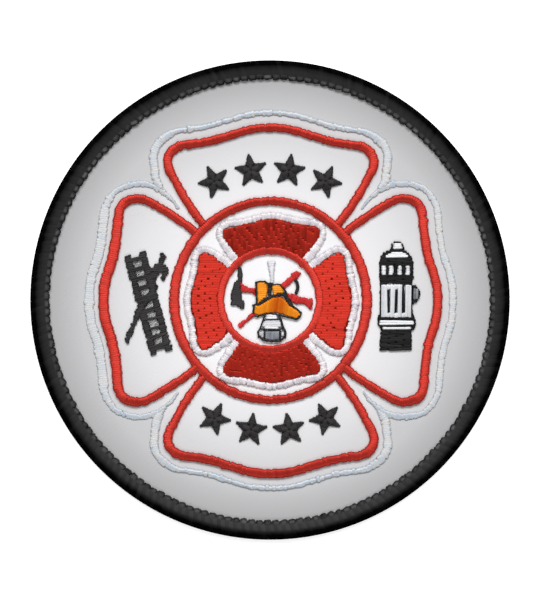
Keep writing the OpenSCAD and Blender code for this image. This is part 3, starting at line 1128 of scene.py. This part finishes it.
# The hydrant's outline, right and up from the middle of its foot
HYDRANT_OUTLINE = [
    [-3.1, 0.0], [-3.05, 2.7], [-2.75, 3.6], [-3.1, 4.2], [-3.45, 4.7], [-3.5, 6.0], [-3.1, 7.0],
    [-2.95, 12.2], [-3.15, 12.9], [-3.15, 16.2], [-2.9, 17.2], [-2.35, 17.95], [-1.5, 18.45],
    [-1.0, 18.75], [-0.9, 19.7], [-0.2, 20.1], [0.8, 20.05], [1.35, 19.4], [1.5, 18.5], [2.2, 18.0],
    [2.85, 17.2], [3.15, 16.2], [3.1, 12.9], [2.85, 12.2], [2.95, 7.0], [3.4, 6.0], [3.65, 5.0],
    [3.5, 4.1], [2.8, 3.6], [2.9, 0.0],
]  # fmt: skip
HYDRANT_OUTLET = [[3.0, 11.9], [3.7, 12.0], [4.3, 11.2], [4.45, 10.3], [4.3, 9.6], [3.7, 9.0], [3.0, 8.5]]
# Its white panels: the cap, the dome, and bands, the front and windows as left, right, bottom, top
HYDRANT_PANELS = [
    [[-0.65, 18.85], [-0.6, 19.6], [-0.1, 19.8], [0.8, 19.75], [1.1, 19.3], [1.15, 18.85]],
    [
        [-2.1, 17.4], [-1.5, 17.85], [-0.8, 18.15], [1.1, 18.15], [1.7, 17.85], [2.3, 17.4], [1.2, 17.25],
        [-1.0, 17.25],
    ],
    [[-3.2, 4.9], [-3.25, 5.5], [-0.5, 5.35], [0.6, 5.35], [3.25, 5.5], [3.35, 4.9], [0.6, 4.7], [-0.6, 4.7]],
    [[-2.6, 3.85], [-2.7, 4.3], [0, 4.15], [2.9, 4.3], [2.6, 3.85]],
]  # fmt: skip
HYDRANT_WINDOWS = [(left, left + 0.85, 14.0, 15.6) for left in (-2.8, -1.4, 0.2, 1.7)]
HYDRANT_FRONT = (-2.8, 2.7, 6.0, 12.2)
HYDRANT_BARS = [(-1.75, -1.25, 6.9, 11.2), (-0.28, 0.14, 6.9, 11.2), (0.98, 1.5, 6.9, 12.2)]
HYDRANT_SLOTS = [(3.2, 3.5, 9.3, 11.5), (3.65, 3.95, 9.5, 11.4)]


@dataclass
class Hydrant(Embroidery):
    """The hydrant: a black figure with white panels in it."""

    foot: tuple[float, float] = (23.45, -9.3)
    slot_tint: float = 0.15
    style: Stitching = Stitching(
        pitch=0.34, thread_w=0.5, thread_t=0.26, height=0.48, ragged=0.1, swing=4.0, tint=0.1,
        tint_spread=0.15,
    )  # fmt: skip
    panel_style: Stitching = Stitching(
        pitch=0.34, thread_w=0.5, thread_t=0.26, height=0.54, ragged=0.08, swing=1.0, tint=0.9,
        tint_spread=0.09, run=15,
    )  # fmt: skip

    def placed(self, shapes: list[Points]) -> list[np.ndarray]:
        """Shapes in their place on the cloth."""
        return [np.asarray(shape) + self.foot for shape in shapes]

    def build(self) -> None:
        """Sews the black figure and its bars, then the white panels."""
        outline, outlet = self.placed([HYDRANT_OUTLINE, HYDRANT_OUTLET])
        windows, (front,), bars, slots = (
            self.placed([box(*sides) for sides in table])
            for table in (HYDRANT_WINDOWS, [HYDRANT_FRONT], HYDRANT_BARS, HYDRANT_SLOTS)
        )
        wide = self.placed(HYDRANT_PANELS) + windows
        lines = self.begin("hydrant_lines")
        lines.fill([outline, front, *wide], 0, self.style)
        lines.fill([outlet, *slots], 0, self.style)
        for bar in bars:
            lines.fill([bar], 90, self.style)
        self.end(lines, BLACK)
        panels = self.begin("hydrant_panels")
        for panel in wide:
            panels.fill([panel], 0, self.panel_style)
        panels.fill([front, *bars], 90, self.panel_style)
        for slot in slots:
            panels.fill([slot], 90, replace(self.panel_style, tint=self.slot_tint))
        self.end(panels, PANEL_WHITE)


# The helmet's crown on both sides of its seam, its brim, and the edge all round it
HELMET_CROWN = [
    [[-2.5, 3.0], [-2.2, 3.2], [-1.1, 3.2], [-0.6, 2.8], [-0.4, 1.7], [-0.6, 0.7], [-1.5, 0], [-2.3, -0.6]],
    [[0.3, 2.7], [1.9, 2.8], [2.4, 2.0], [2.7, 1.3], [1.4, 1.2], [0.6, 1.0], [0.4, 1.9]],
]
HELMET_BRIM = [
    [-2.6, -0.9], [-2.0, -1.1], [-1.1, -0.5], [0.4, 0.35], [1.8, 0.6], [2.8, 0.2], [3.5, -0.9],
    [4.6, -1.65], [5.55, -2.4], [5.5, -2.95], [4.8, -3.4], [3.7, -3.15], [2.4, -2.7], [1.1, -2.3],
    [-0.4, -2.4], [-1.9, -2.8], [-2.8, -2.6],
]  # fmt: skip
HELMET_EDGE = [
    [-2.69, 3.3], [-1.86, 3.5], [-0.9, 3.45], [-0.3, 3.1], [0.4, 2.85], [1.7, 2.95], [2.4, 2.4],
    [2.95, 1.65], [3.3, 0.9], [3.5, 0.0], [4.2, -1.0], [5.0, -1.6], [5.85, -2.4], [5.65, -3.1],
    [4.95, -3.7], [4.1, -3.45], [3.3, -3.3], [1.9, -2.95], [0.0, -2.6], [-1.1, -2.8], [-2.6, -3.1],
    [-3.15, -2.4], [-3.05, -0.9], [-2.5, -0.7], [-2.6, 0.9], [-2.69, 3.3],
]  # fmt: skip
# Its black lines with their widths: the seam up the crown, the one across it, and the lip
HELMET_LINES = [
    ([[-0.05, 3.1], [0.0, 2.2], [-0.1, 1.4], [0.0, 0.6]], 0.75),
    ([[-2.6, -0.85], [-1.5, -0.45], [-0.5, 0.3], [0.4, 0.75], [1.4, 0.95], [2.8, 1.0]], 0.5),
    ([[2.7, 1.0], [3.1, 0.4], [3.5, -0.4], [4.0, -1.0]], 0.75),
]
AXE_HEAD = [
    [-5.85, 5.95], [-6.1, 4.8], [-6.0, 3.7], [-6.6, 3.2], [-7.05, 1.9], [-7.25, 1.1], [-7.25, -0.85],
    [-6.1, -1.05], [-5.6, -1.4], [-4.85, -1.55], [-4.6, -1.2], [-4.8, -0.4], [-5.25, 0.2], [-5.25, 1.9],
    [-5.5, 3.0], [-5.15, 3.5], [-5.0, 4.8], [-5.35, 6.0],
]  # fmt: skip
# Parts of the axe's handle and of the pike pole, each with the direction of its threads
HANDLE_PARTS = [
    (40, [
        [-5.45, 3.2], [-4.8, 2.85], [-4.1, 2.35], [-2.75, 2.1], [-2.75, 1.0], [-3.7, 1.35], [-4.6, 1.4],
        [-5.45, 1.5],
    ]),
    (62, [
        [3.1, 1.25], [3.7, 1.1], [4.5, 1.1], [5.2, 0.65], [6.1, 0.4], [6.6, 0.5], [7.2, 0.25], [7.9, 0.2],
        [7.9, -0.75], [7.7, -1.7], [7.3, -1.7], [6.7, -1.0], [5.8, -0.7], [4.8, -0.75], [4.2, -0.4],
        [3.5, 0.15],
    ]),
]  # fmt: skip
POLE_PARTS = [
    (108, [
        [2.0, 2.8], [2.8, 3.55], [3.35, 4.1], [4.05, 4.55], [3.8, 4.85], [4.35, 5.1], [4.95, 5.5],
        [5.7, 4.9], [5.4, 4.25], [4.8, 3.8], [4.1, 3.3], [3.35, 2.6], [2.8, 2.2],
    ]),
    (-52, [
        [-3.2, -2.3], [-2.75, -2.95], [-3.35, -3.35], [-4.1, -4.0], [-4.8, -4.55], [-5.0, -5.0],
        [-5.5, -5.15], [-5.95, -4.65], [-5.75, -4.25], [-5.0, -3.8], [-4.45, -3.45], [-3.9, -2.7],
    ]),
]  # fmt: skip
HOOK_LINES = [([[4.6, 3.8], [5.05, 3.2], [5.15, 2.1], [4.8, 1.2]], 0.62)]
# The nozzle's light parts, with the direction and the tint of their threads: three steps, then the sides of
# the lowest one
NOZZLE_PARTS = [
    (0, 0.85, [[-0.85, -3.5], [-0.8, -2.8], [1.4, -2.7], [1.45, -3.5]]),
    (0, 0.8, [[-1.1, -3.8], [1.9, -3.8], [2.2, -4.8], [1.3, -5.3], [-0.85, -5.3], [-1.5, -4.8]]),
    (90, 0.22, [[-0.8, -5.75], [1.65, -5.75], [1.6, -7.2], [0.4, -7.5], [-0.75, -7.2]]),
    (90, 0.6, [[-1.95, -5.9], [-1.25, -5.75], [-1.35, -7.0], [-1.95, -6.5]]),
    (90, 0.7, [[2.1, -5.8], [2.55, -6.0], [2.6, -6.6], [2.15, -7.0]]),
]
NOZZLE_LINES = [
    ([[-1.0, -3.0], [-1.35, -3.9], [-1.75, -5.0], [-2.15, -5.8], [-2.15, -6.6], [-1.4, -7.4]], 0.3),
    ([[-1.4, -7.4], [0.2, -7.7], [1.7, -7.6], [2.7, -6.95]], 0.36),
    ([[2.75, -6.95], [2.9, -6.1], [2.4, -5.0], [2.05, -3.9], [1.7, -3.1]], 0.46),
    ([[-1.1, -3.66], [1.9, -3.66]], 0.24),
    ([[-1.9, -5.3], [-0.8, -5.55], [1.5, -5.55], [2.4, -5.3]], 0.34),
    ([[-1.0, -5.7], [-1.05, -7.3]], 0.34),
    ([[1.85, -5.7], [1.85, -7.3]], 0.38),
]
# The nozzle's other end, above the helmet
NOZZLE_TIP = [
    [-0.6, 7.1], [1.2, 7.1], [0.9, 6.4], [0.75, 5.0], [0.7, 3.2], [0.1, 3.2], [-0.1, 5.2], [-0.35, 6.4],
]  # fmt: skip


@dataclass
class Medallion(Embroidery):
    """The figure in the middle: a helmet over a crossed axe and pike pole, and a hose nozzle."""

    style: Stitching = Stitching(
        pitch=0.34, thread_w=0.54, thread_t=0.3, height=0.5, ragged=0.08, drift=0.02, tint=0.75,
        tint_spread=0.08,
    )  # fmt: skip
    cord: Stitching = Stitching(
        pitch=0.25, thread_w=0.42, thread_t=0.3, height=0.55, ragged=0.1, drift=0.03, tint=0.8,
        tint_spread=0.22,
    )  # fmt: skip
    line: Stitching = Stitching(
        thread_w=0.42, thread_t=0.3, height=0.56, ragged=0.04, drift=0.02, swing=3, tint=0.6,
        tint_spread=0.15,
    )  # fmt: skip
    line_step: float = 0.8
    # Distance of the helmet's black edging from its edge, inwards, and its width
    edge_in: float = 0.08
    edge_w: float = 0.36
    brim_turn: float = 80.0
    brim_spot: tuple[float, float, float, float] = (1.5, -1.1, 1.7, 0.8)
    # Tint of the brim and the axe's head, and of the nozzle's tip, with its spread
    bright: float = 0.95
    tip_tint: float = 0.85
    tip_spread: float = 0.04

    def sew_parts(
        self, node: str, finish: ThreadFinish, parts: list[tuple[float, Points]], style: Stitching
    ) -> None:
        """Sews a piece of filled parts.

        Args:
            node: The piece's node.
            finish: Its thread.
            parts: The direction of each part's threads, and its outline.
            style: How they are sewn.
        """
        piece = self.begin(node)
        for direction, outline in parts:
            piece.fill([outline], direction, style)
        self.end(piece, finish)

    def sew_lines(self, node: str, lines: list[tuple[Points, float]]) -> None:
        """Sews a piece of thin black lines.

        Args:
            node: The piece's node.
            lines: The way and the width of each line.
        """
        piece = self.begin(node)
        for path, width in lines:
            piece.run(path, width, self.line_step, self.line)
        self.end(piece, BLACK)

    def build(self) -> None:
        """Sews the helmet, the axe and the pike pole that cross behind it, and the nozzle."""
        bright = replace(self.style, tint=self.bright)
        brim = replace(bright, dark_spot=self.brim_spot)
        self.sew_parts("helmet_crown", ORANGE, [(0, panel) for panel in HELMET_CROWN], self.style)
        self.sew_parts("helmet_brim", RUST, [(self.brim_turn, HELMET_BRIM)], brim)
        edge = beside(np.array(HELMET_EDGE), -self.edge_in)
        self.sew_lines("helmet_trim", [(edge, self.edge_w), *HELMET_LINES])
        self.sew_parts("axe_head", BLACK, [(0, AXE_HEAD)], bright)
        self.sew_parts("axe_handle", TOOL_RED, HANDLE_PARTS, self.cord)
        self.sew_parts("pike_pole", TOOL_RED, POLE_PARTS, self.cord)
        self.sew_lines("pike_hook", HOOK_LINES)
        body = self.begin("nozzle_body")
        for direction, tint, outline in NOZZLE_PARTS:
            body.fill([outline], direction, replace(self.style, tint=tint))
        self.end(body, GREY)
        self.sew_lines("nozzle_bands", NOZZLE_LINES)
        tip = replace(self.style, tint=self.tip_tint, tint_spread=self.tip_spread)
        self.sew_parts("nozzle_tip", GREY, [(0, NOZZLE_TIP)], tip)


def spun(name: str, section: list[tuple[float, float]], steps: int, is_closed: bool) -> bpy.types.Object:
    """Spins a section of radius and height round the patch's middle.

    Args:
        name: The piece's name.
        section: The section's points, in millimetres.
        steps: Steps of the whole turn.
        is_closed: True if the section's last point joins its first.

    Returns:
        The piece, closed, with its faces outwards.
    """
    bm = bmesh.new()
    verts = [bm.verts.new((radius * MM, 0, height * MM)) for radius, height in section]
    pairs = list(zip(verts, verts[1:])) + ([(verts[-1], verts[0])] if is_closed else [])
    edges = [bm.edges.new(pair) for pair in pairs]
    whole_turn = {"cent": (0, 0, 0), "axis": (0, 0, 1), "angle": math.tau}
    bmesh.ops.spin(bm, geom=verts + edges, steps=steps, use_merge=True, **whole_turn)
    bmesh.ops.remove_doubles(bm, verts=bm.verts, dist=MERGE_DISTANCE)
    bmesh.ops.recalc_face_normals(bm, faces=bm.faces)
    for face in bm.faces:
        face.smooth = True
    return from_bmesh(name, bm)


def places_of(piece: bpy.types.Object) -> np.ndarray:
    """The places of a piece's vertices, in metres."""
    places = np.zeros(len(piece.data.vertices) * 3, np.float32)
    piece.data.vertices.foreach_get("co", places)
    return places.reshape(-1, 3)


@dataclass(frozen=True)
class TwillFinish:
    """The look of the twill: white in the middle and greyer towards the border, which is painted shade of the
    light falling off, with a fine slanting weave.

    Attributes:
        greys: Radius in millimetres and grey of the cloth outside the large cross; the greys fall towards the
            border as painted shade.
        blue: How much bluer than grey it is.
        inside_gain: How much brighter it is inside the large cross.
        weave: Width of a rib of the weave, in millimetres.
        weave_turn: Turn of the ribs from upright, in degrees.
        waviness: How far the ribs waver.
        fuzz: Height of the threads' unevenness, as a share of a rib's.
        fuzz_scale: Scale of that unevenness.
        fuzz_detail: Detail in it.
        relief: Strength of the relief.
        relief_depth: Depth of it, in millimetres.
        roughness: Roughness of the shader.
        sheen: Weight of the soft sheen.
    """

    greys: tuple[tuple[float, float], ...] = (
        (0.0, 0.74), (14.5, 0.69), (19.5, 0.65), (26.0, 0.586), (29.7, 0.526), (32.5, 0.5), (35.3, 0.483),
        (37.1, 0.44), (39.0, 0.4), (39.9, 0.383),
    )  # fmt: skip
    blue: float = 1.02
    inside_gain: float = 0.1
    weave: float = 0.36
    weave_turn: float = 52.0
    waviness: float = 1.5
    fuzz: float = 0.5
    fuzz_scale: float = 1400.0
    fuzz_detail: float = 3.0
    relief: float = 0.12
    relief_depth: float = 0.05
    roughness: float = 0.85
    sheen: float = 0.1

    def material(self, cloth_r: float) -> bpy.types.Material:
        """Builds the twill's material.

        Args:
            cloth_r: Radius of the cloth, in millimetres.

        Returns:
            The material. It reads the mark on the cloth's face inside the large cross.
        """
        made = bpy.data.materials.new("white_twill")
        made.use_nodes = True
        made.node_tree.nodes.clear()
        graph = Graph(made.node_tree)
        place = graph.add("ShaderNodeTexCoord").outputs["Object"]
        flat = graph.add("ShaderNodeVectorMath", {0: place, 1: (1, 1, 0)}, operation="MULTIPLY").outputs[0]
        radius = graph.add("ShaderNodeVectorMath", {0: flat}, operation="LENGTH").outputs["Value"]
        # The ramp darkens the cloth towards the border: painted shade of the light's falloff
        ramp = graph.add("ShaderNodeValToRGB", {"Fac": graph.math("DIVIDE", radius, cloth_r * MM)})
        stops = ramp.color_ramp.elements
        while len(stops) < len(self.greys):
            stops.new(0.5)
        for stop, (where, grey) in zip(stops, self.greys):
            stop.position = where / cloth_r
            stop.color = (grey, grey, grey * self.blue, 1)
        inside = graph.add("ShaderNodeAttribute", attribute_name="inside").outputs["Fac"]
        gain = graph.math("ADD", graph.math("MULTIPLY", inside, self.inside_gain), 1.0)
        scaled = {0: ramp.outputs[0], "Scale": gain}
        colour = graph.add("ShaderNodeVectorMath", scaled, operation="SCALE").outputs[0]
        slant = (0, 0, math.radians(self.weave_turn))
        turn = graph.add("ShaderNodeMapping", {"Vector": place, "Rotation": slant}).outputs[0]
        # The wave node repeats at every 0.314 / scale, here after a rib and the groove beside it
        scale = 0.314 / (2 * self.weave * MM)
        line = graph.add("ShaderNodeTexWave", {"Vector": turn, "Scale": scale, "Distortion": self.waviness})
        noise = {"Vector": place, "Scale": self.fuzz_scale, "Detail": self.fuzz_detail}
        thread = graph.add("ShaderNodeTexNoise", noise).outputs["Fac"]
        height = graph.math("ADD", line.outputs["Fac"], graph.math("MULTIPLY", thread, self.fuzz))
        depth = self.relief_depth * MM
        bump = graph.add("ShaderNodeBump", {"Height": height, "Strength": self.relief, "Distance": depth})
        cloth = {"Base Color": colour, "Roughness": self.roughness, "Sheen Weight": self.sheen}
        shader = graph.add("ShaderNodeBsdfPrincipled", cloth | {"Normal": bump.outputs[0]})
        graph.add("ShaderNodeOutputMaterial", {"Surface": shader.outputs[0]})
        return made


@dataclass
class TwillGround:
    """The disc of white twill, dimpled where the satin lines pull it down."""

    layout: Layout
    ring_step: float = 0.5
    turn_steps: int = 256
    back_rings: tuple[float, ...] = (35, 25, 15, 5, 0)
    chamfer: float = 0.1
    # Distance between the places that pull the cloth down, along the lines
    pull_step: float = 0.4
    # Depth of the dimples beside the lines, how far it is full, and how soon it fades from there
    dimple: float = 0.03
    dimple_reach: tuple[float, float] = (0.6, 0.7)
    # Height, number and closeness of the ripples, and the ring by the border where the cloth lies flat
    ripple: float = 0.03
    ripples: int = 6
    ripple_spread: float = 0.35
    flat_ring: float = 2.5
    fade_ring: float = 2.0
    # Radius of the hub, inside which the cloth is brighter, as it is inside the lobes
    inside_r: float = 19.0
    # Depth under the cloth's top down to which a place is on its face, before it is dimpled and after
    face_depth: tuple[float, float] = (0.01, 0.2)
    finish: TwillFinish = TwillFinish()

    def pull_down(self, piece: bpy.types.Object, paths: list[np.ndarray]) -> None:
        """Moves the face of the cloth down beside each line of stitches, and lets it ripple between them.

        Args:
            piece: The cloth.
            paths: The lines of stitches.
        """
        spots = np.concatenate([resample(path, self.pull_step)[0] for path in paths])
        tree = KDTree(len(spots))
        for i, (x, y) in enumerate(spots):
            tree.insert((x, y, 0), i)
        tree.balance()
        places = places_of(piece).astype(float) / MM
        rng = np.random.default_rng(zlib.crc32(piece.name.encode()))
        waves = rng.normal(0, self.ripple_spread, (self.ripples, 2))
        phases = rng.uniform(0, math.tau, self.ripples)
        ripple = np.sin(places[:, :2] @ waves.T + phases).mean(axis=1)
        near = np.array([tree.find((x, y, 0))[2] for x, y, _ in places])
        is_face = places[:, 2] > self.layout.cloth_top - self.face_depth[0]
        radius = np.hypot(places[:, 0], places[:, 1])
        fade = np.clip((self.layout.cloth_r - self.flat_ring - radius) / self.fade_ring, 0, 1)
        full, reach = self.dimple_reach
        drop = self.dimple * np.exp(-(((np.maximum(near - full, 0)) / reach) ** 2))
        places[:, 2] += is_face * fade * (self.ripple * (ripple - 1) / 2 - drop)
        piece.data.vertices.foreach_set("co", (places * MM).astype(np.float32).ravel())
        piece.data.update()

    def mark_inside(self, piece: bpy.types.Object, lobes: list[np.ndarray]) -> None:
        """Marks the face of the cloth inside the large cross, which is a little brighter.

        Args:
            piece: The cloth.
            lobes: The pale line of each lobe.
        """
        x, y, z = places_of(piece).T / MM
        inside = np.hypot(x, y) < self.inside_r
        for lobe in lobes:
            loop = np.concatenate([lobe, [[0.0, 0.0]]])
            is_odd = np.zeros(len(x), bool)
            for (x0, y0), (x1, y1) in zip(loop, np.roll(loop, -1, axis=0)):
                if y0 != y1:
                    is_odd ^= ((y0 > y) != (y1 > y)) & (x < x0 + (y - y0) * (x1 - x0) / (y1 - y0))
            inside |= is_odd
        inside &= z > self.layout.cloth_top - self.face_depth[1]
        mark = piece.data.attributes.new("inside", "FLOAT", "POINT")
        mark.data.foreach_set("value", inside.astype(np.float32))

    def build(self, paths: list[np.ndarray], lobes: list[np.ndarray], border: bpy.types.Object) -> None:
        """Cuts the cloth, dimples it and marks its face inside the large cross.

        Args:
            paths: The lines of stitches that pull it down.
            lobes: The pale line of each lobe of the large cross.
            border: The border that holds it; not used.
        """
        lay = self.layout
        inner_r = lay.cloth_r - self.chamfer
        face = [(float(radius), lay.cloth_top) for radius in np.arange(0, inner_r, self.ring_step)]
        edge = [(inner_r, lay.cloth_top), (lay.cloth_r, lay.cloth_top - self.chamfer)]
        edge += [(lay.cloth_r, lay.cloth_low + self.chamfer), (inner_r, lay.cloth_low)]
        back = [(float(radius), lay.cloth_low) for radius in self.back_rings]
        piece = spun("twill_ground_cloth", face + edge + back, self.turn_steps, is_closed=False)
        self.pull_down(piece, paths)
        self.mark_inside(piece, lobes)
        finish_piece(piece, "twill_ground", self.finish.material(lay.cloth_r))


@dataclass
class MerrowBorder:
    """The merrowed border: yarn wrapped over the edge, with a row of loops and knots on its inner side."""

    layout: Layout
    loom: Loom
    # The loops, and twice as many strands
    loops: int = 175
    strand_w: float = 1.25
    strand_t: float = 0.2
    strand_long: float = 9.0
    # Spread of a strand's thickness, as a share, of its place and of its tint
    strand_spread: tuple[float, float, float] = (0.02, 0.03, 0.008)
    # How far a strand slants over the top, and the radii where the slant starts, crosses its middle and ends
    slant: float = 0.9
    slant_r: tuple[float, float, float] = (41.0, 42.6, 44.3)
    loop_r: float = 41.74
    loop_long: float = 1.8
    loop_lean: float = 20.0
    loop_style: Stitching = Stitching(
        thread_w=1.75, thread_t=0.5, shoulder=0.8, ragged=0.1, swing=6, tint=0.2, tint_spread=0.03,
        taper=0.25,
    )  # fmt: skip
    # The knots are of the same dark yarn as the loops; their lighter tint, which fades at their ends and
    # sides, is a painted highlight
    knot_r: float = 41.4
    knot_long: float = 1.6
    knot_lean: float = 82.0
    knot_style: Stitching = Stitching(
        thread_w=0.82, thread_t=0.34, height=0.8, ragged=0.15, swing=12, tint=0.42, tint_spread=0.12,
        fade=0.75,
    )  # fmt: skip
    # Tint that the strands gain towards the patch's bottom edge, every second one more, as a painted
    # highlight, and the least tint of the stations that gain it
    low_gain: tuple[float, float] = (0.06375, 0.11475)
    low_from: float = 0.08
    # Middle of a strand from the inner lip over the top and round the edge to the back: radius, height, tint
    # Its tint falls to nothing round the outer edge: painted shade where the yarn turns away from the light
    wrap: tuple[tuple[float, float, float], ...] = (
        (41.3, 1.85, 0.09), (41.4, 2.1, 0.11), (41.65, 2.3, 0.125), (41.95, 2.45, 0.125), (42.6, 2.49, 0.1),
        (43.1, 2.45, 0.06), (43.6, 2.28, 0.0), (44.12, 1.85, 0.0), (44.46, 1.3, 0.0), (44.1, 0.6, 0.03),
        (43.3, 0.12, 0.1), (42.2, 0.11, 0.12), (41.2, 0.11, 0.1),
    )  # fmt: skip
    # The core under the strands, without its last side, which faces the cloth: radius, height
    core: tuple[tuple[float, float], ...] = (
        (41.2, 1.72), (41.3, 2.0), (41.65, 2.2), (42.15, 2.36), (43.1, 2.36), (43.95, 1.95), (44.39, 1.3),
        (44.0, 0.55), (43.2, 0.18), (41.4, 0.18), (41.1, 0.45),
    )  # fmt: skip
    # That side's lower and upper end, and its distance from the cloth
    core_side: tuple[float, float] = (0.5, 1.7)
    cloth_gap: float = 0.03
    core_steps: int = 180

    def build_strands(self) -> bpy.types.Object:
        """Wraps the strands, side by side, each with a slight slant.

        Returns:
            The strands as one piece.
        """
        tube = Tube.build(rings=len(self.wrap))
        strands = 2 * self.loops
        rng = np.random.default_rng(zlib.crc32(b"merrow_border_yarn"))
        thick_spread, place_spread, tint_spread = self.strand_spread
        stations = np.array(self.wrap)
        ahead = np.gradient(stations[:, :2], axis=0)
        ahead /= np.linalg.norm(ahead, axis=1, keepdims=True)
        normal_r, normal_z = left_of(ahead)[tube.ring].T
        here_r, here_z, here_tint = stations[tube.ring].T
        out, across = tube.section.T
        thick = self.strand_t / 2 * (1 + rng.normal(0, thick_spread, (strands, 1)))
        radius = here_r + normal_r * out * thick
        height = np.tile(np.maximum(here_z + normal_z * out * self.strand_t / 2, 0), (strands, 1))
        first, middle, last = self.slant_r
        slant = self.slant * (np.clip(here_r, first, last) - middle) / (last - first)
        aside = (across * self.strand_w / 2 + slant + rng.normal(0, place_spread, (strands, 1))) / here_r
        number = np.arange(strands)[:, None]
        angle = number * math.tau / strands + aside
        points = np.stack([radius * np.cos(angle), radius * np.sin(angle), height], axis=2)
        tint = here_tint + rng.normal(0, tint_spread, (strands, 1))
        # Painted highlight: the strands grow lighter towards the patch's bottom edge, every second one more
        gain = np.array(self.low_gain)[number % 2]
        tint += gain * np.clip(-np.sin(angle), 0, 1) ** 2 * (here_tint > self.low_from)
        return self.loom.mesh("merrow_border_strands", tube, points, tint, np.full(strands, self.strand_long))

    def build_loops(self) -> bpy.types.Object:
        """Sews the row of loops on the inner edge, each with a knot on it whose lighter tint is a painted
        highlight.

        Returns:
            The loops as one piece.
        """
        stitches = Stitches("merrow_border_loops", self.layout.face_z)
        out = rays(np.arange(self.loops) * math.tau / self.loops)
        stitches.put(self.loop_r * out, turned(out, self.loop_lean), self.loop_long, self.loop_style)
        stitches.put(self.knot_r * out, turned(out, self.knot_lean), self.knot_long, self.knot_style)
        return self.loom.sew(stitches)

    def build(self) -> bpy.types.Object:
        """Builds the border's core, strands and loops, and joins them.

        Returns:
            The border.
        """
        inner_r = self.layout.cloth_r + self.cloth_gap
        section = [*self.core, *((inner_r, height) for height in self.core_side)]
        piece = spun("merrow_border_yarn", section, self.core_steps, is_closed=True)
        piece.data.uv_layers.new(name="thread")
        piece.data.attributes.new("tint", "FLOAT", "POINT")
        parts = [piece, self.build_strands(), self.build_loops()]
        with bpy.context.temp_override(active_object=piece, selected_editable_objects=parts):
            bpy.ops.object.join()
        finish_piece(piece, "merrow_border", BORDER.material())
        return piece


@dataclass
class Studio:
    """The floor, the soft light from above the patch's top edge, and the camera straight above."""

    # Height of the picture at the patch, and how far over the floor that is measured
    field_h: float = 111.39
    focus_z: float = 1.6
    lens: float = 150.0
    sensor: float = 36.0
    key_energy: float = 59.0
    fill_energy: float = 13.0
    # Both lamps, in metres and degrees
    lamp_size: tuple[float, float] = (2.3, 0.76)
    lamp_distance: float = 2.2
    lamp_elevation: float = 50.0
    sky: float = 0.25
    floor_size: float = 3.0
    floor_grey: float = 0.93
    floor_roughness: float = 0.9
    floor_glow: float = 0.6

    def build(self) -> None:
        """Sets up the floor, the lights, the camera and the plain view of colours."""
        bm = bmesh.new()
        bmesh.ops.create_grid(bm, x_segments=1, y_segments=1, size=self.floor_size)
        floor = from_bmesh("studio_floor", bm)
        paint = bpy.data.materials.new("floor_paint")
        paint.use_nodes = True
        shader = paint.node_tree.nodes["Principled BSDF"]
        shader.inputs["Base Color"].default_value = (self.floor_grey, self.floor_grey, self.floor_grey, 1)
        shader.inputs["Roughness"].default_value = self.floor_roughness
        shader.inputs["Emission Color"].default_value = (1, 1, 1, 1)
        shader.inputs["Emission Strength"].default_value = self.floor_glow
        floor.data.materials.append(paint)
        self.light_up()
        self.place_camera()

    def light_up(self) -> None:
        """Adds the key light above the patch's top edge, a weaker one above its bottom edge, and the sky."""
        turn = math.radians(self.lamp_elevation)
        for name, energy, way in (("key_light", self.key_energy, 1), ("fill_light", self.fill_energy, -1)):
            lamp = bpy.data.lights.new(name, "AREA")
            lamp.shape = "RECTANGLE"
            lamp.size, lamp.size_y = self.lamp_size
            lamp.energy = energy
            light = linked(name, lamp)
            light.location = Vector((0, way * math.cos(turn), math.sin(turn))) * self.lamp_distance
            light.rotation_euler = (-light.location).to_track_quat("-Z", "Y").to_euler()
        world = bpy.data.worlds.new("studio_sky")
        world.use_nodes = True
        background = world.node_tree.nodes["Background"]
        background.inputs["Color"].default_value = (1, 1, 1, 1)
        background.inputs["Strength"].default_value = self.sky
        bpy.context.scene.world = world
        bpy.context.scene.view_settings.view_transform = "Standard"

    def place_camera(self) -> None:
        """Places the camera straight above, with the patch's top edge up."""
        data = bpy.data.cameras.new("studio_camera")
        data.lens = self.lens
        data.sensor_width = self.sensor
        data.clip_start = 0.01
        camera = linked("studio_camera", data)
        distance = self.field_h * self.lens / self.sensor
        camera.location = Vector((0, 0, (distance + self.focus_z) * MM))
        bpy.context.scene.camera = camera


def main() -> None:
    """Builds every piece of the patch and the studio."""
    logging.basicConfig(level=logging.INFO, format="%(message)s")
    layout = Layout.from_frame()
    loom = Loom()
    border = MerrowBorder(layout, loom).build()
    cross = FireCross(layout, loom)
    lobes = [cross.pale_path(side)[0] for side in Side]
    paths = cross.build()
    paths += Rings(layout, loom).build()
    paths += SmallCross(layout, loom).build()
    Stars(layout, loom).build()
    LadderAndPole(layout, loom).build()
    Hydrant(layout, loom).build()
    Medallion(layout, loom).build()
    TwillGround(layout).build(paths, lobes, border)
    Studio().build()
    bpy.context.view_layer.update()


if __name__ == "__main__":
    main()
